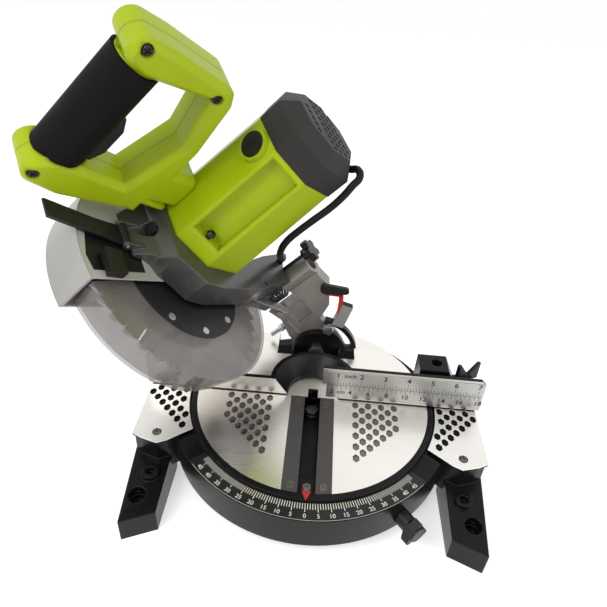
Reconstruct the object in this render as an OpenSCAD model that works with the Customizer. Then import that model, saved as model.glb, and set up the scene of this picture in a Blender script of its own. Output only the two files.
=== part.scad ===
// Bevel mitre saw: a cast base with a turning table, a tilting bracket behind the table
// and a swinging head that carries the motor, the blade, its two guards and a loop handle.
// Millimetres, +Z up. The origin is the centre of the four bench holes on the bench plane.
// The saw is drawn tilted to its left stop with its head raised.

/* [Stand] */
// Height of the table top above the bench
table_h = 63.5; // [60:0.5:76]
// How far the table's turning centre lies behind the centre of the bench holes
pivot_back = 21; // [17:1:25]
// Side-to-side distance of the bench holes
bench_dx = 327; // [324:1:330]
// Front-to-back distance of the bench holes
bench_dy = 202; // [196:1:208]
// Diameter of the bench holes
bench_hole_d = 8.4; // [7:0.1:10]
// Width of the ring that carries the mitre scale
ring_w = 25.3; // [23.3:0.1:27.3]
// How far the scale lies below the table top
scale_drop = 4.9; // [4:0.1:6]
// Depth of the base casting below the table top
base_depth = 42.7; // [41:0.1:46]
// Wall of the base casting
cast_t = 4; // [3:0.5:5]
// Length of a wing plate from front to back
wing_l = 93; // [88:1:95]
// Outer half width of the wing plates
wing_x = 180; // [178:0.5:183]
// Thickness of the wing plates
wing_t = 3; // [2:0.5:3.5]
// Bore of the clamp socket
clamp_d = 12; // [10:0.5:13]
// Height of the clamp socket above the table top
clamp_top = 38; // [34:1:42]

/* [Table] */
// Radius of the turning table
disc_r = 126.7; // [125.5:0.1:127.2]
// Thickness of the two polished table plates
plate_t = 3; // [2:0.5:4]
// Outer half width of the kerf inserts
insert_x = 23.9; // [23:0.1:26]
// Half width of the slot between the kerf inserts
kerf_x = 8.5; // [8:0.1:9.5]
// Thickness of the kerf inserts
insert_t = 2.5; // [2:0.1:3]
// Depth of the chip trough's floor below the table top
trough_depth = 26; // [24:0.5:27]
// Diameter of the mitre pivot bolt
pivot_d = 8; // [6:0.5:10]
// How far the bevel plate stands behind the turning centre
bevel_y = 80; // [79:0.5:82]
// Outer radius of the bevel plate
bevel_r = 49; // [47:0.5:51]
// Thickness of the bevel plate
bevel_t = 8; // [6:0.5:9]
// Diameter of the bevel pivot bolt
bevel_bolt_d = 12; // [10:0.5:14]

/* [Fence] */
// Top of the fence above the table
fence_top = 43.3; // [40:0.1:44]
// Half length of the fence
fence_x = 184; // [180:1:186]
// Gap under the fence
seat_z = 1.5; // [1:0.1:2]
// Thickness of the fence's upright
fence_t = 5; // [4:0.5:6]
// Depth of the fence's foot
fence_foot = 17.5; // [16:0.5:17.5]
// Height of the ruler's middle line above the table
ruler_z = 22; // [20:0.5:24]

/* [Head] */
// Distance of the head's hinge behind the turning centre
chop_y = 95; // [94:0.5:97]
// Height of the head's hinge above the table
chop_z = 93; // [91:0.5:95]
// Diameter of the head's hinge pin
chop_pin_d = 12; // [10:0.5:13]
// Length of the hinge boss on the bracket
boss_l = 42; // [38:1:44]
// Distance from the hinge forward to the blade's axis
arbor_reach = 146.2; // [144:0.2:148]
// How far the lowered blade reaches below the table top
blade_below = 19.8; // [17:0.2:20]
// Width of the gearbox casting
arm_w = 30; // [27:0.5:31]
// Length of the gearbox casting from its front edge to the hinge
arm_l = 213; // [209:1:216]
// Height of the gearbox casting
arm_h = 117; // [113:1:120]
// Length of the motor housing
motor_l = 120; // [114:1:124]
// Half the width across the motor housing's flats at the gearbox
motor_a = 47.5; // [46:0.5:49]
// Half the width across its flats at the end cap
a_end = 43.5; // [42:0.5:45]
// Wall of the motor housing
case_t = 3; // [2.5:0.5:4]
// Length of the motor's end cap
cap_l = 34; // [31:1:37]

/* [Blade and gears] */
// Diameter of the blade
blade_d = 210; // [206:1:211]
// Thickness of the blade
blade_t = 2; // [1.6:0.1:2.4]
// Teeth of the blade
blade_teeth = 40; // [24:2:60]
// Diameter of the arbor where the blade sits
arbor_d = 16; // [14:0.5:18]
// Diameter of the clamping flanges
flange_d = 44; // [40:1:48]
// Distance between the arbor and the motor shaft
gear_centre = 37; // [36.4:0.1:38]
// Teeth of the arbor gear
gear_teeth = 34; // [33:1:35]
// Teeth of the motor pinion
pinion_teeth = 13; // [12:1:13]
// Diameter of the motor shaft
shaft_d = 9; // [8:0.5:10]

/* [Guards] */
// Distance from the blade's teeth to the outside of the upper guard
upper_gap = 11; // [9.5:0.5:13]
// Wall of the upper guard
upper_wall = 2.5; // [2:0.1:2.8]
// Distance from the blade's teeth to the outside of the lower guard at its right wall
lower_gap = 5.6; // [5.4:0.1:6]
// How much smaller the lower guard's radius is at its left wall
lower_taper = 6.6; // [5.6:0.1:7.6]
// Wall of the lower guard
lower_wall = 2; // [1.8:0.1:2.2]
// Radius of the guard's hub plate
hub_plate_r = 67; // [64:1:70]
// Length of the guard link between its pivots
link_l = 95; // [92:1:97]

/* [Handle] */
// Distance from the turning centre forward to the grip's axis
grip_reach = 195; // [192:1:198]
// Height of the grip's axis above the table with the head lowered
grip_z = 147; // [144:1:149]
// Thickness of the handle loop
handle_t = 42; // [40:0.5:43]
// Diameter of the rubber grip
grip_d = 40; // [38.5:0.5:41]
// Width of the handle loop
handle_w = 155; // [152:1:158]
// Depth of the handle loop from front to back
handle_l = 114; // [111:1:116]
// Trigger thickness
trigger_t = 14; // [12:0.5:16]

/* [Hidden] */
$fn = 64;

// Shared fits and poses
bevel_rest = 45;
raise_rest = 50;
over = 1;
gap = 0.3;
play = 0.05;
eps = 0.02;
many = 96;
few = 32;

// Shared fasteners
screw_d = 5;
screw_head_d = 9;
screw_head_h = 3.2;
cross_w = 1.2;

// Base
floor_z = -base_depth;
lip_clear = 0.5;
lip_w = 5.8;
lip_gap = 2;
lip_in = disc_r + lip_clear;
lip_out = lip_in + lip_w;
wing_in = lip_out + lip_gap;
ring_r = disc_r + ring_w;
bearing_r = disc_r - cast_t;
bearing_w = 6;
under_z = -20;
wing_back = 10;
wing_front = wing_back - wing_l;
bench_x = bench_dx / 2;
bench_front = -pivot_back - bench_dy / 2;
bench_rear = -pivot_back + bench_dy / 2;
foot_boss_r = 11;
cbore_r = 7.2;
cbore_z = -48;
pocket_r = 8.4;
pocket_z = -42;
upper_boss_r = 9;
upper_hole_r = 4.5;
foot_top = -25;
toe_top = -35.5;
tower_y0 = 18;
tower_y1 = 45;
tower_x0 = 115;
tower_x1 = 155;
clamp_x = 135;
clamp_y = 32;
wing_screw_x = 172;
wing_screw_y = 35;
nut_z = 12;
wing_bolt_d = 8;
lock_az = -52;
lock_z = -30;
lock_d = 10;
lock_l = 23;
rear_top = -24;
lock_lobe_r = 7;
lock_hub_r = 8.4;
lock_boss = 1.5;
lock_reach = 11;
lobes = 3;

// Table
chute_x = 21;
chute_t = 5;
chute_z = -trough_depth;
floor_t = 3;
chute_front = -113;
chute_rear = 70;
ins_front = -125.6;
hub_r = 28;
neck_x = 16;
neck_drop = 13;
slot_r = 39.5;
slot_w = 8.6;
slot_end_r = 4.2;
slot_from = 17;
slot_to = 71;
notch_x = 47;
back_y = bevel_y + bevel_t + gap;

// Head
arbor_y = chop_y - arbor_reach;
upper_r = blade_d / 2 + upper_gap;
lower_r = blade_d / 2 + lower_gap;
lower_left_r = lower_r - lower_taper;
arbor_z = blade_d / 2 - blade_below;
gear_lean = 21;
motor_y = arbor_y + gear_centre * sin(gear_lean);
motor_z = arbor_z + gear_centre * cos(gear_lean);
arm_x0 = 15;
arm_x1 = arm_x0 + arm_w;
motor_x1 = arm_x1 + motor_l;
cap_x1 = motor_x1 + cap_l;
boss_x0 = 30;
boss_x1 = boss_x0 + boss_l;
boss_r = 13;
lug_x0 = -10;
lug_x1 = 2;
lug_r = 15;

// Base, small sizes
foot_in_x = 141.5;
foot_out_x = 173.5;
toe_y = -151;
foot_in_back = 14;
foot_back_y = -60;
slab_t = 2;
foot_roof = 6;
upper_boss_x = 157;
upper_boss_y = -98;
upper_hole_deep = 6;
hind_y0 = 40;
hind_y1 = 100;
wing_corner = 10;
wing_step = 5;
wing_mid_x = 153;
wing_toe_x = 120;
wing_toe = 23;
wing_inset = 2;
wing_pocket = 12;
wing_screw_px = 155.8;
wing_screw_py = -69;
wing_screw_l = 16;
wing_plate_screw_l = 12;
wing_dot_x = 133;
wing_dot_y = -56.5;
dot_deep = 2;
seat_y1 = 24;
bolt_x0 = 160;
bolt_x1 = 176;
bolt_in = 11;
bolt_l = 14;
clamp_depth = 45;
wing_screw_in = 14;
wing_nut_z = 9;
wing_nut_low = 5;
wing_nut_t = 2.4;
wing_nut_r = 12;
wing_nut_az = 20;
wing_hub_share = 0.8;
flange_t = 4;
spoke_r = 112;
spoke_w = 16;
spoke_step = 45;
hub_boss_r = 16;
rear_open_x = 60;
scale_in = 0.6;
scale_t = 0.5;
scale_end_share = 0.8355;
scale_end_y = -scale_end_share * ring_r;
dome_share = 0.75;
cross_share = 0.3;
hex_share = 1.9;
washer_t = 1.6;
nut_h = 5;
lock_lobe_w = 12;
lock_tip_w = 8;
lock_tip_r = 3.5;

// Fence, small sizes
right_x = 9;
low_x0 = 11.8;
low_z0 = 5.3;
low_x1 = 23.5;
low_z1 = 13.2;
low_x2 = 29.3;
low_z2 = 17;
low_x3 = 40.7;
low_z3 = 22;
low_x4 = 80;
high_x = 95;
fence_rad = 5;
foot_t = 6;
rib_step = 7;
rib_drop = 4;
bridge_y = 4.5;
bridge_in = 28;
bridge_r = 43;
bridge_rim = 5;
bridge_lip = 5;
bridge_z0 = 4;
bridge_z1 = 22;
ruler_t = 0.8;
ruler_h = 37;
ruler_x0 = 14;
ruler_x1 = 182;

// Table, small sizes
notch_gap = 10;
rim_wall = 5;
insert_rear = 0;
exit_x = 5.5;
exit_y = 13;
front_floor = -14;
ins_x = 15.9;
ins_y0 = -117.7;
ins_y1 = -10;
ins_screw_l = 12;
pan_d = 8;
pan_h = 1.8;
block_y0 = 13;
block_y1 = 37;
block_y2 = -112;
block_y3 = -96;
block_z = -15;
block_bolt_x = -2;
point_y = -121.5;
pointer_tip = -134.5;
point_w = 8;
point_t = 1.2;
pointer_lift = 0;
plate_gap = 0.1;
dot_x = 47.2;
dot_y = -80.2;
dot_dx = 7.1;
dot_dy = 7.3;
dot_w = 6.6;
dot_l = 10.4;
dot_half_share = 0.5;
dot_counts = [6, 5, 5, 4, 4, 3, 3];
wing_dot_counts = [2, 4, 3, 3, 2, 2, 1];
slot_pad = 8;
scale_px = 26.7;
scale_pz = 55.9;
scale_lean = 17;
scale_w = 14;
scale_l = 31;
scale_root = 8;
nut_share = 0.85;

// Bracket, small sizes
brk_left = 15;
brk_low = 30.5;
brk_low2 = 34;
brk_mid = 32;
brk_x1 = 53.5;
brk_z1 = 39;
brk_x2 = 70.5;
brk_z2 = 59;
brk_z3 = 77;
brk_z4 = 82;
brk_top = 86;
brk_neck = 11;
brk_waist = 6;
brk_wz = 58;
bracket_t = 19;
brk_t = 6;
bracket_hub_r = 30;
brk_hub_t = 14;
window_x0 = 8;
window_x1 = 30;
window_z0 = 42;
window_z1 = 66;
window_lean = 3;
window_deep = 3;
rib_places = [-3];
rib_w = 3;
rib_out = 3;
rib_top = 52;
side_ribs = [48, 64];
recess_l = 8;
recess_r = 8.5;
pin_head_l = 3;
lock_pin_d = 5;
lock_pin_dy = -1;
lock_pin_dz = 13;
star_r = 13;
star_t = 14;
star_w = 8;
star_tip = 2.6;
star_points = 5;
hub_share = 0.5;
spring_x0 = 3;
spring_r = 14;
wire_d = 3;
spring_pitch = 4.1;
spring_curls = 5;
spring_ring_count = 24;
wire_fn = 6;
spring_start = 90;
bolt_turn = 62;
lock_bolt_d = 8;
washer_share = 0.72;
lever_x = 66;
lever_z = 60;
lever_pin_d = 6;
lever_hub_r = 6;
lever_t = 5;
lever_tip_r = 4;
lever_dx = 16;
lever_dz = 17;
stop_y = 97;
stop_z = 45;
stop_d = 6;
stop_l = 20;
stop_in = 12;
anchor_y = 82;
anchor_z = 68;
link_lug_x0 = 2;
link_lug_x1 = 8;
link_lug_r = 6;
link_pin_r = 3;
link_hole_r = 2.5;
link_w = 10;
link_x0 = 11.9;
link_x1 = 13;
link_angle = 120.4;
pointer_far = 2.6;
bp_x0 = 20.5;
bp_z0 = 78;
bp_w = 5;
bp_lean = 0.3;
bp_tip_x = 19.4;
bp_tip_z = 55.8;
bp_up = 5;
bp_low = 1;
bp_root = 16;

// Head, small sizes
arm_shares = [[1, 0.434], [0.981, 0.05], [0.925, 0.032], [0.897, -0.01], [0.878, -0.087],
  [0.822, -0.165], [0.756, -0.275], [0.657, -0.292], [0.371, -0.215], [0.12, -0.06],
  [0.06, -0.03], [0.06, 0.3], [0.239, 0.195], [0.357, 0.1], [0.399, 0.23], [0.423, 0.554],
  [0.521, 0.69], [0.728, 0.69], [0.798, 0.64], [0.897, 0.545]];
arm_mid_x = 30;
arm_slant = 22;
arm_slant_2 = 4;
arm_cover = 7;
arm_pocket = 6;
rear_y0 = 66;
rear_y1 = 82;
rear_z0 = 81;
rear_z1 = 110;
nose_r = 24;
nose_x = 5;
nose_lip = 1.5;
bearing_out = 14;
bearing_l = 8;
bearing_w2 = 8.5;
pinion_room = 14;
gear_room = 30;
gear_x0 = 18;
gear_x1 = 26;
pressure = 25;
addendum_share = 0.9;
dedendum_share = 1.15;
play_share = 0.14;
flank_steps = 5;
button_x = 30;
button_up = 29.8;
button_z = arbor_z + button_up;
button_in = 28;
button_y = chop_y - arm_l + button_in;
button_r = 5;
button_l = 8;
button_recess_r = 7.5;
button_pin_r = 2.5;
button_pin_l = 6;
button_travel = 4;
hinge_x = 20;
hinge_out = 3;
hinge_y = chop_y - arm_l - hinge_out;
lever_pin_r = 1.6;
hinge_lug_r = 4;
hinge_lug_l = 13;
lug_ups = [10.8, 34.1];
lug_zs = [for (u = lug_ups) arbor_z + u];
lug_t = 3;
plate_w = 3;
lever_h = 17;
lever_mid_x = 18.6;
lever_run = 29;
lever_mid_y = hinge_y - lever_run;
lever_up = 16.8;
lever_mid_z = arbor_z + lever_up;
lever_tip_x = 18.2;
tip_run = 41;
lever_tip_y = lever_mid_y - tip_run;
tip_up = 6;
lever_tip_z = lever_mid_z + tip_up;
arm_screws = [[-60, 155], [30, 70]];
guard_left = 29;
guard_right_t = 1.6;
guard_shares = [[-1.5, -0.35], [-0.98, -0.228], [-0.38, -0.14], [0.08, -0.07], [1.5, 0.24],
  [1.5, 1.5], [-1.5, 1.5]];
latch_t = 8;
field_in = 3.4;
field_rim = 1;
field_shares = [[-0.93, -0.15], [-0.96, -0.03], [-0.91, 0.22], [-0.6, 0.33], [-0.455, 0.18], [-0.455, -0.08]];
latch_shares = [[-0.84, -0.19], [-0.70, -0.18], [-0.70, 0.02], [-0.84, 0.02]];
lower_play = 2;
lower_x1 = 9.5;
lower_open_r = 72;
lower_from = -167;
lower_to = 0;
lower_hub_w = 14;
sector_steps = 12;
hub_plate_t = 1.2;
rivet_angles = [-125, -87, -47, -10];
rivet_r = 60;
rivet_d = 4;
rivet_head_share = 0.9;
rivet_head_h = 0.8;
brush_x = 150;
brush_hole_r = 9;
brush_r = 11;
brush_t = 4;
brush_lift = 0.4;
collar_w = 3;
brush_w = 8;
commutator_r = 13;
commutator_l = 16;
channel_from = 18;
channel_w = 30;
channel_end = 6;
channel_deep = 9;
channel_screw_in = 6;
cap_lip = 0.6;
cap_c = 12;
vent_rows = 4;
vent_cols = 4;
vent_dy = 8.4;
vent_dz = 6.8;
vent_r = 2.6;
vent_y = -7;
strip_rows = 2;
strip_y = -22;
rear_seat_r = 14;
rear_bearing_r = 11;
stator_x0 = 78;
stator_x1 = 132;
core_r = 24;
core_x0 = 80;
core_x1 = 130;
fan_r = 31;
fan_x0 = 54;
fan_disc_t = 2;
fan_l = 12;
fan_hub_r = 9;
fan_blades = 9;
fan_blade_t = 1.6;
arbor_bolt_d = 8;
arbor_bolt_in = 16;
flange_out_t = 3.5;
tooth_h = 9;
gullet_share = 0.25;
tooth_share = 0.7;
tip_share = 0.95;
slits = 4;
slit_l = 24;
slit_w = 1.6;
lead_r = 4;
lead_in = 5;
lead_turn = -45;
lead_rings = 6;
lead_fn = 10;
lead_pts = [[186, -8, 100], [182, 6, 97], [170, 14, 97], [155, 24, 105], [140, 33, 111],
  [120, 48, 121], [100, 60, 130], [80, 70, 137], [64, 76, 134], [54, 76, 120], [45, 76, 108]];
lead_end = lead_pts[len(lead_pts) - 1];

// Handle, small sizes
loop_x0 = 22;
loop_v0 = 24;
handle_c = 5;
grip_core_r = 17;
bar_a_share = 0.174;
bar_b_share = 0.813;
loop_shares = [[[0.11, 0.13, 0.09], [0.08, 0.32, 0.08], [0.13, 0.76, 0.085], [0.15, 0.21, 0.08]],
  [[0.22, 0.90, 0.06], [0.16, 0.80, 0.09], [0.57, 0.895, 0.055]],
  [[0.57, 0.895, 0.055], [0.88, 0.80, 0.06], [0.93, 0.76, 0.055]],
  [[0.90, 0.13, 0.08], [0.88, 0.21, 0.07], [0.935, 0.30, 0.055], [0.94, 0.74, 0.05]],
  [[0.22, 0.90, 0.06], [0.36, 0.90, 0.06], [0.24, 1.13, 0.06], [0.36, 1.13, 0.06]],
  [[0.14, 0.80, 0.085], [0.11, 1.08, 0.07]]];
hscrew_shares = [[0.93, 0.11], [0.91, 0.71], [0.10, 0.08]];
hscrew_z = -17;
hscrew_l = 24;
switch_x0 = 62;
switch_l = 28;
switch_back = 10;
switch_h = 16;
trig_x0 = 58;
trig_x1 = 106;
trig_front = 3;
trigger_travel = 6;
trigger_low = 2;
trigger_out = 8;
trigger_round = 12;

module at_table() {
  translate([0, pivot_back, table_h]) children();
}
module at_bevel() {
  at_table() rotate([0, -bevel_rest, 0]) children();
}
module at_head() {
  at_bevel() translate([0, chop_y, chop_z]) rotate([-raise_rest, 0, 0])
    translate([0, -chop_y, -chop_z]) children();
}
module box(low, high) {
  translate(low) cube(high - low);
}
module rod_x(r, x0, x1, fn = $fn) {
  translate([x0, 0, 0]) rotate([0, 90, 0]) cylinder(r = r, h = x1 - x0, $fn = fn);
}
module rod_y(r, y0, y1, fn = $fn) {
  translate([0, y1, 0]) rotate([90, 0, 0]) cylinder(r = r, h = y1 - y0, $fn = fn);
}
module rod_z(r, z0, z1, fn = $fn) {
  translate([0, 0, z0]) cylinder(r = r, h = z1 - z0, $fn = fn);
}
module tube_z(ro, ri, z0, z1) {
  difference() {
    rod_z(ro, z0, z1, many);
    rod_z(ri, z0 - over, z1 + over, many);
  }
}
module side(x0, x1) {
  translate([x0, 0, 0]) rotate([90, 0, 90]) linear_extrude(x1 - x0) children();
}
module face(y0, y1) {
  translate([0, y1, 0]) rotate([90, 0, 0]) linear_extrude(y1 - y0) children();
}
module both() {
  children();
  mirror([1, 0, 0]) children();
}

module wing_outline() {
  difference() {
    polygon([[tower_x0, wing_back], [wing_x, wing_back], [wing_x, wing_front + wing_corner],
      [wing_x - wing_corner, wing_front + wing_step], [wing_mid_x, wing_front],
      [wing_mid_x - wing_corner, wing_front + wing_step],
      [wing_toe_x, wing_front + wing_toe], [tower_x0, wing_front + wing_toe]]);
    circle(wing_in, $fn = many);
  }
}
module foot_outline(inset) {
  polygon([[foot_in_x + inset, toe_y + foot_in_back], [foot_out_x - inset, toe_y + inset],
    [wing_x - inset, foot_back_y], [foot_in_x + inset, foot_back_y]]);
}
module foot_block(inset, top_drop) {
  hull() {
    translate([0, 0, -table_h]) linear_extrude(slab_t) foot_outline(inset);
    translate([0, 0, toe_top - top_drop - slab_t]) linear_extrude(slab_t)
      foot_outline(inset);
    translate([foot_in_x + inset, foot_back_y - slab_t, foot_top - top_drop - slab_t])
      cube([wing_x - foot_in_x - 2 * inset, slab_t, slab_t]);
  }
}
// One front foot with its recess, bench hole and upper screw boss
module foot() {
  difference() {
    union() {
      difference() {
        foot_block(0, 0);
        translate([0, 0, -over]) foot_block(cast_t, foot_roof);
      }
      translate([bench_x, bench_front, 0]) rod_z(foot_boss_r, -table_h, pocket_z, few);
      translate([upper_boss_x, upper_boss_y, 0])
        rod_z(upper_boss_r, foot_top - foot_roof, foot_top, few);
    }
    translate([bench_x, bench_front, 0]) {
      rod_z(bench_hole_d / 2, -table_h - over, over);
      rod_z(cbore_r, cbore_z, over);
      rod_z(pocket_r, pocket_z, over);
    }
    translate([upper_boss_x, upper_boss_y, 0])
      rod_z(upper_hole_r, foot_top - upper_hole_deep, over);
  }
}
module rear_foot() {
  difference() {
    union() {
      difference() {
        hull() {
          box([foot_in_x, hind_y0, -table_h], [wing_x, hind_y1, cbore_z]);
          box([foot_in_x, hind_y0, foot_top - slab_t],
            [wing_x, hind_y0 + slab_t, foot_top]);
        }
        box([foot_in_x + cast_t, hind_y0 + cast_t, -table_h - over],
          [wing_x - cast_t, hind_y1 - cast_t, cbore_z - cast_t]);
      }
      translate([bench_x, bench_rear, 0]) rod_z(foot_boss_r, -table_h, cbore_z, few);
    }
    translate([bench_x, bench_rear, 0]) {
      rod_z(bench_hole_d / 2, -table_h - over, over);
      rod_z(cbore_r, cbore_z, over);
    }
  }
}
module wing_tower() {
  difference() {
    translate([0, 0, floor_z]) linear_extrude(-wing_t - floor_z) difference() {
      offset(delta = -wing_inset) wing_outline();
      circle(ring_r - cast_t, $fn = many);
    }
    box([ring_r + cast_t, wing_front + wing_pocket, floor_z - over],
      [wing_x - wing_inset - cast_t, 0, -wing_t - cast_t]);
    translate([wing_screw_px, wing_screw_py, 0])
      rod_z(screw_d / 2, -wing_screw_l, over, few);
  }
}
module fence_seat() {
  difference() {
    box([wing_in, wing_back + gap, floor_z], [fence_x - wing_inset, seat_y1, seat_z]);
    box([wing_in - over, wing_back, -wing_t - over], [ring_r, seat_y1 + over, seat_z + over]);
    box([ring_r + cast_t, wing_back + cast_t, floor_z - over],
      [fence_x - wing_inset - cast_t, seat_y1 - cast_t, -wing_t - cast_t]);
    bolt_holes() rod_z(screw_d / 2, -wing_screw_l, seat_z + over, few);
  }
}
module bolt_holes() {
  for (x = [bolt_x0, bolt_x1])
    translate([x, seat_y1 - bolt_in, 0]) children();
}
module clamp_tower() {
  difference() {
    intersection() {
      face(tower_y0, tower_y1) polygon([[tower_x0, floor_z], [wing_screw_x + wing_bolt_d,
        floor_z], [wing_screw_x + wing_bolt_d, nut_z], [wing_screw_x - wing_nut_r,
        nut_z], [tower_x1 - wing_bolt_d, clamp_top], [tower_x0, clamp_top]]);
      union() {
        box([tower_x0, tower_y0, seat_z], [wing_x + over, tower_y1, clamp_top]);
        difference() {
          box([tower_x0, tower_y0, floor_z], [wing_x + over, tower_y1, seat_z]);
          rod_z(lip_in, floor_z - over, clamp_top, many);
        }
      }
    }
    translate([clamp_x, clamp_y, 0]) rod_z(clamp_d / 2, clamp_top - clamp_depth, clamp_top + over);
    translate([wing_screw_x, wing_screw_y, 0])
      rod_z(wing_bolt_d / 2 + play, nut_z - wing_screw_in, clamp_top, few);
  }
}
module front_half(back = 0) {
  intersection() {
    children();
    translate([-wing_x, -wing_x, -table_h]) cube([2 * wing_x, wing_x + back, 2 * table_h]);
  }
}
module base_casting() {
  color([0.05, 0.05, 0.055]) at_table() difference() {
    union() {
      tube_z(ring_r, ring_r - cast_t, floor_z, rear_top);
      front_half(tower_y1) {
        tube_z(ring_r, ring_r - cast_t, rear_top - over, -scale_drop);
        tube_z(ring_r, lip_in, -scale_drop - flange_t, -scale_drop);
      }
      front_half() tube_z(lip_out, lip_in, -scale_drop - over, 0);
      translate([0, 0, floor_z]) linear_extrude(cast_t) difference() {
        union() {
          difference() {
            circle(ring_r - eps, $fn = many);
            circle(spoke_r, $fn = many);
          }
          for (a = [0:spoke_step:360 - spoke_step])
            rotate(a) translate([0, -spoke_w / 2]) square([ring_r - cast_t / 2, spoke_w]);
        }
        circle(hub_boss_r - cast_t, $fn = many);
      }
      tube_z(bearing_r, bearing_r - bearing_w, floor_z, under_z - gap);
      rod_z(hub_boss_r, floor_z, chute_z - floor_t - gap);
      both() {
        wing_tower();
        foot();
        rear_foot();
        fence_seat();
      }
      clamp_tower();
    }
    rod_z(pivot_d / 2 + play, floor_z - over, 0);
    rotate(lock_az) translate([0, 0, lock_z])
      rod_x(lock_d / 2 + play, bearing_r + over, ring_r + over, few);
    rear_opening();
  }
}
// The rear of the ring is open where the tilting bracket passes
module rear_opening() {
  box([-rear_open_x, bearing_r + gap, floor_z + cast_t], [rear_open_x, ring_r + over, over]);
}
// Columns of sunk six-sided dots, each column half a step above the one before
module dots(counts) {
  for (c = [0:len(counts) - 1], k = [0:counts[c] - 1])
    translate([c * dot_dx, (c + 2 * k) * dot_dy, -dot_deep]) linear_extrude(plate_t) scale([dot_w, dot_l])
      polygon([for (a = [0:60:300]) [dot_half_share * round(2 * sin(a)) / 2, dot_half_share * cos(a)]]);
}
module wing_plate() {
  color([0.72, 0.72, 0.72]) difference() {
    translate([0, 0, -wing_t]) linear_extrude(wing_t) wing_outline();
    translate([wing_dot_x, wing_dot_y, 0]) dots(wing_dot_counts);
    translate([wing_screw_px, wing_screw_py, -wing_t]) {
      translate([0, 0, -over]) cylinder(d = screw_d + gap, h = wing_t + 2 * over);
      translate([0, 0, wing_t - screw_head_h / 2]) cylinder(d = screw_head_d + gap, h = screw_head_h);
    }
  }
}
module left_wing_plate() {
  at_table() mirror([1, 0, 0]) wing_plate();
}
module right_wing_plate() {
  at_table() wing_plate();
}
// A pan-headed screw along -Z, its head's seat at z = 0
module screw(l, d = screw_d, head_d = screw_head_d, head_h = screw_head_h) {
  difference() {
    union() {
      rod_z(d / 2, -l, 0, few);
      cylinder(d1 = head_d, d2 = head_d * dome_share, h = head_h, $fn = few);
    }
    for (a = [0, 90])
      rotate(a) translate([-head_d * cross_share, -cross_w / 2, head_h - cross_w])
        cube([2 * head_d * cross_share, cross_w, cross_w + over]);
  }
}
module wing_plate_screws() {
  color([0.6, 0.6, 0.62]) at_table() both()
    translate([wing_screw_px, wing_screw_py, -screw_head_h / 2]) screw(wing_plate_screw_l);
}
// The raised band that carries the mitre scale
module mitre_scale() {
  color([0.1, 0.1, 0.1]) at_table() intersection() {
    tube_z(ring_r - scale_in, lip_out + gap, -scale_drop, -scale_drop + scale_t);
    linear_extrude(table_h, center = true)
      polygon([[0, 0], [-ring_r, scale_end_y], [-ring_r, -ring_r - over],
        [ring_r, -ring_r - over], [ring_r, scale_end_y]]);
  }
}

module right_profile() {
  polygon([[right_x, seat_z], [fence_x, seat_z], [fence_x, fence_top - fence_rad],
    [fence_x - fence_rad, fence_top], [right_x, fence_top]]);
}
module low_left_profile() {
  polygon([[-right_x, seat_z], [-low_x0, low_z0], [-low_x1, low_z1], [-low_x2, low_z2],
    [-low_x3, low_z3], [-low_x4, low_z3], [-high_x, fence_top],
    [fence_rad - fence_x, fence_top], [-fence_x, fence_top - fence_rad], [-fence_x, seat_z]]);
}
// The curved bridge that joins both halves behind the blade's slot
module fence_bridge() {
  translate([0, bridge_y, 0]) rotate_extrude(angle = 180, $fn = many)
    polygon([[bridge_in, seat_z], [bridge_in, bridge_z0], [bridge_r, bridge_z1],
      [bridge_r + bridge_rim, bridge_z1], [bridge_r + bridge_rim, bridge_z1 - bridge_lip],
      [bridge_r, bridge_z1 - 2 * bridge_lip], [bridge_in + bridge_rim, seat_z]]);
}
module fence() {
  color([0.07, 0.07, 0.075]) at_table() difference() {
    union() {
      difference() {
        union() {
          face(0, fence_t) right_profile();
          face(0, fence_t) low_left_profile();
          both() box([bridge_r, fence_t - over, seat_z], [fence_x, fence_foot, seat_z + foot_t]);
          both() for (x = [bolt_x0 - rib_step, bolt_x1 + rib_step])
            rib(x);
          both() rib(bridge_r + rib_step);
        }
        translate([0, bridge_y, 0]) cylinder(r1 = bridge_in, r2 = bridge_r, h = bridge_z1,
          $fn = many);
      }
      fence_bridge();
    }
    both() translate([0, 0, seat_z]) bolt_holes()
      rod_z(screw_d / 2 + play, -over, foot_t + over, few);
  }
}
module rib(x) {
  side(x - fence_t / 2, x + fence_t / 2)
    polygon([[fence_t - over, seat_z], [fence_foot, seat_z],
      [fence_foot, seat_z + foot_t], [fence_t - over, low_z3 - rib_drop]]);
}
module fence_ruler() {
  color([0.75, 0.75, 0.73]) at_table() translate([0, -ruler_t, 0])
    box([ruler_x0, 0, ruler_z - ruler_h / 2], [ruler_x1, ruler_t, ruler_z + ruler_h / 2]);
}
module fence_bolts() {
  color([0.55, 0.55, 0.57]) at_table() both() translate([0, 0, seat_z + foot_t])
    bolt_holes() screw(bolt_l);
}
module mitre_pivot_bolt() {
  color([0.45, 0.45, 0.47]) at_table() {
    rod_z(pivot_d / 2, floor_z - nut_h - over, chute_z + gap);
    translate([0, 0, chute_z + gap])
      cylinder(d = 2 * pivot_d, h = washer_t);
    translate([0, 0, chute_z + gap + washer_t])
      cylinder(d = hex_share * pivot_d, h = nut_h, $fn = 6);
    translate([0, 0, floor_z - nut_h]) cylinder(d = hex_share * pivot_d, h = nut_h, $fn = 6);
  }
}
module mitre_lock_knob() {
  color([0.08, 0.08, 0.085]) at_table() rotate(lock_az) translate([0, 0, lock_z]) {
    rod_x(lock_d / 2, bearing_r + 2 * over, ring_r + gap, few);
    rod_x(lock_hub_r, ring_r + gap, ring_r + lock_l + lock_boss, few);
    for (a = [0:360 / lobes:359])
      rotate([a, 0, 0]) hull() {
        rod_x(lock_lobe_r, ring_r + lock_l - lock_lobe_w, ring_r + lock_l, few);
        translate([0, 0, lock_reach])
          rod_x(lock_tip_r, ring_r + lock_l - lock_tip_w, ring_r + lock_l, few);
      }
  }
}
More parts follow.
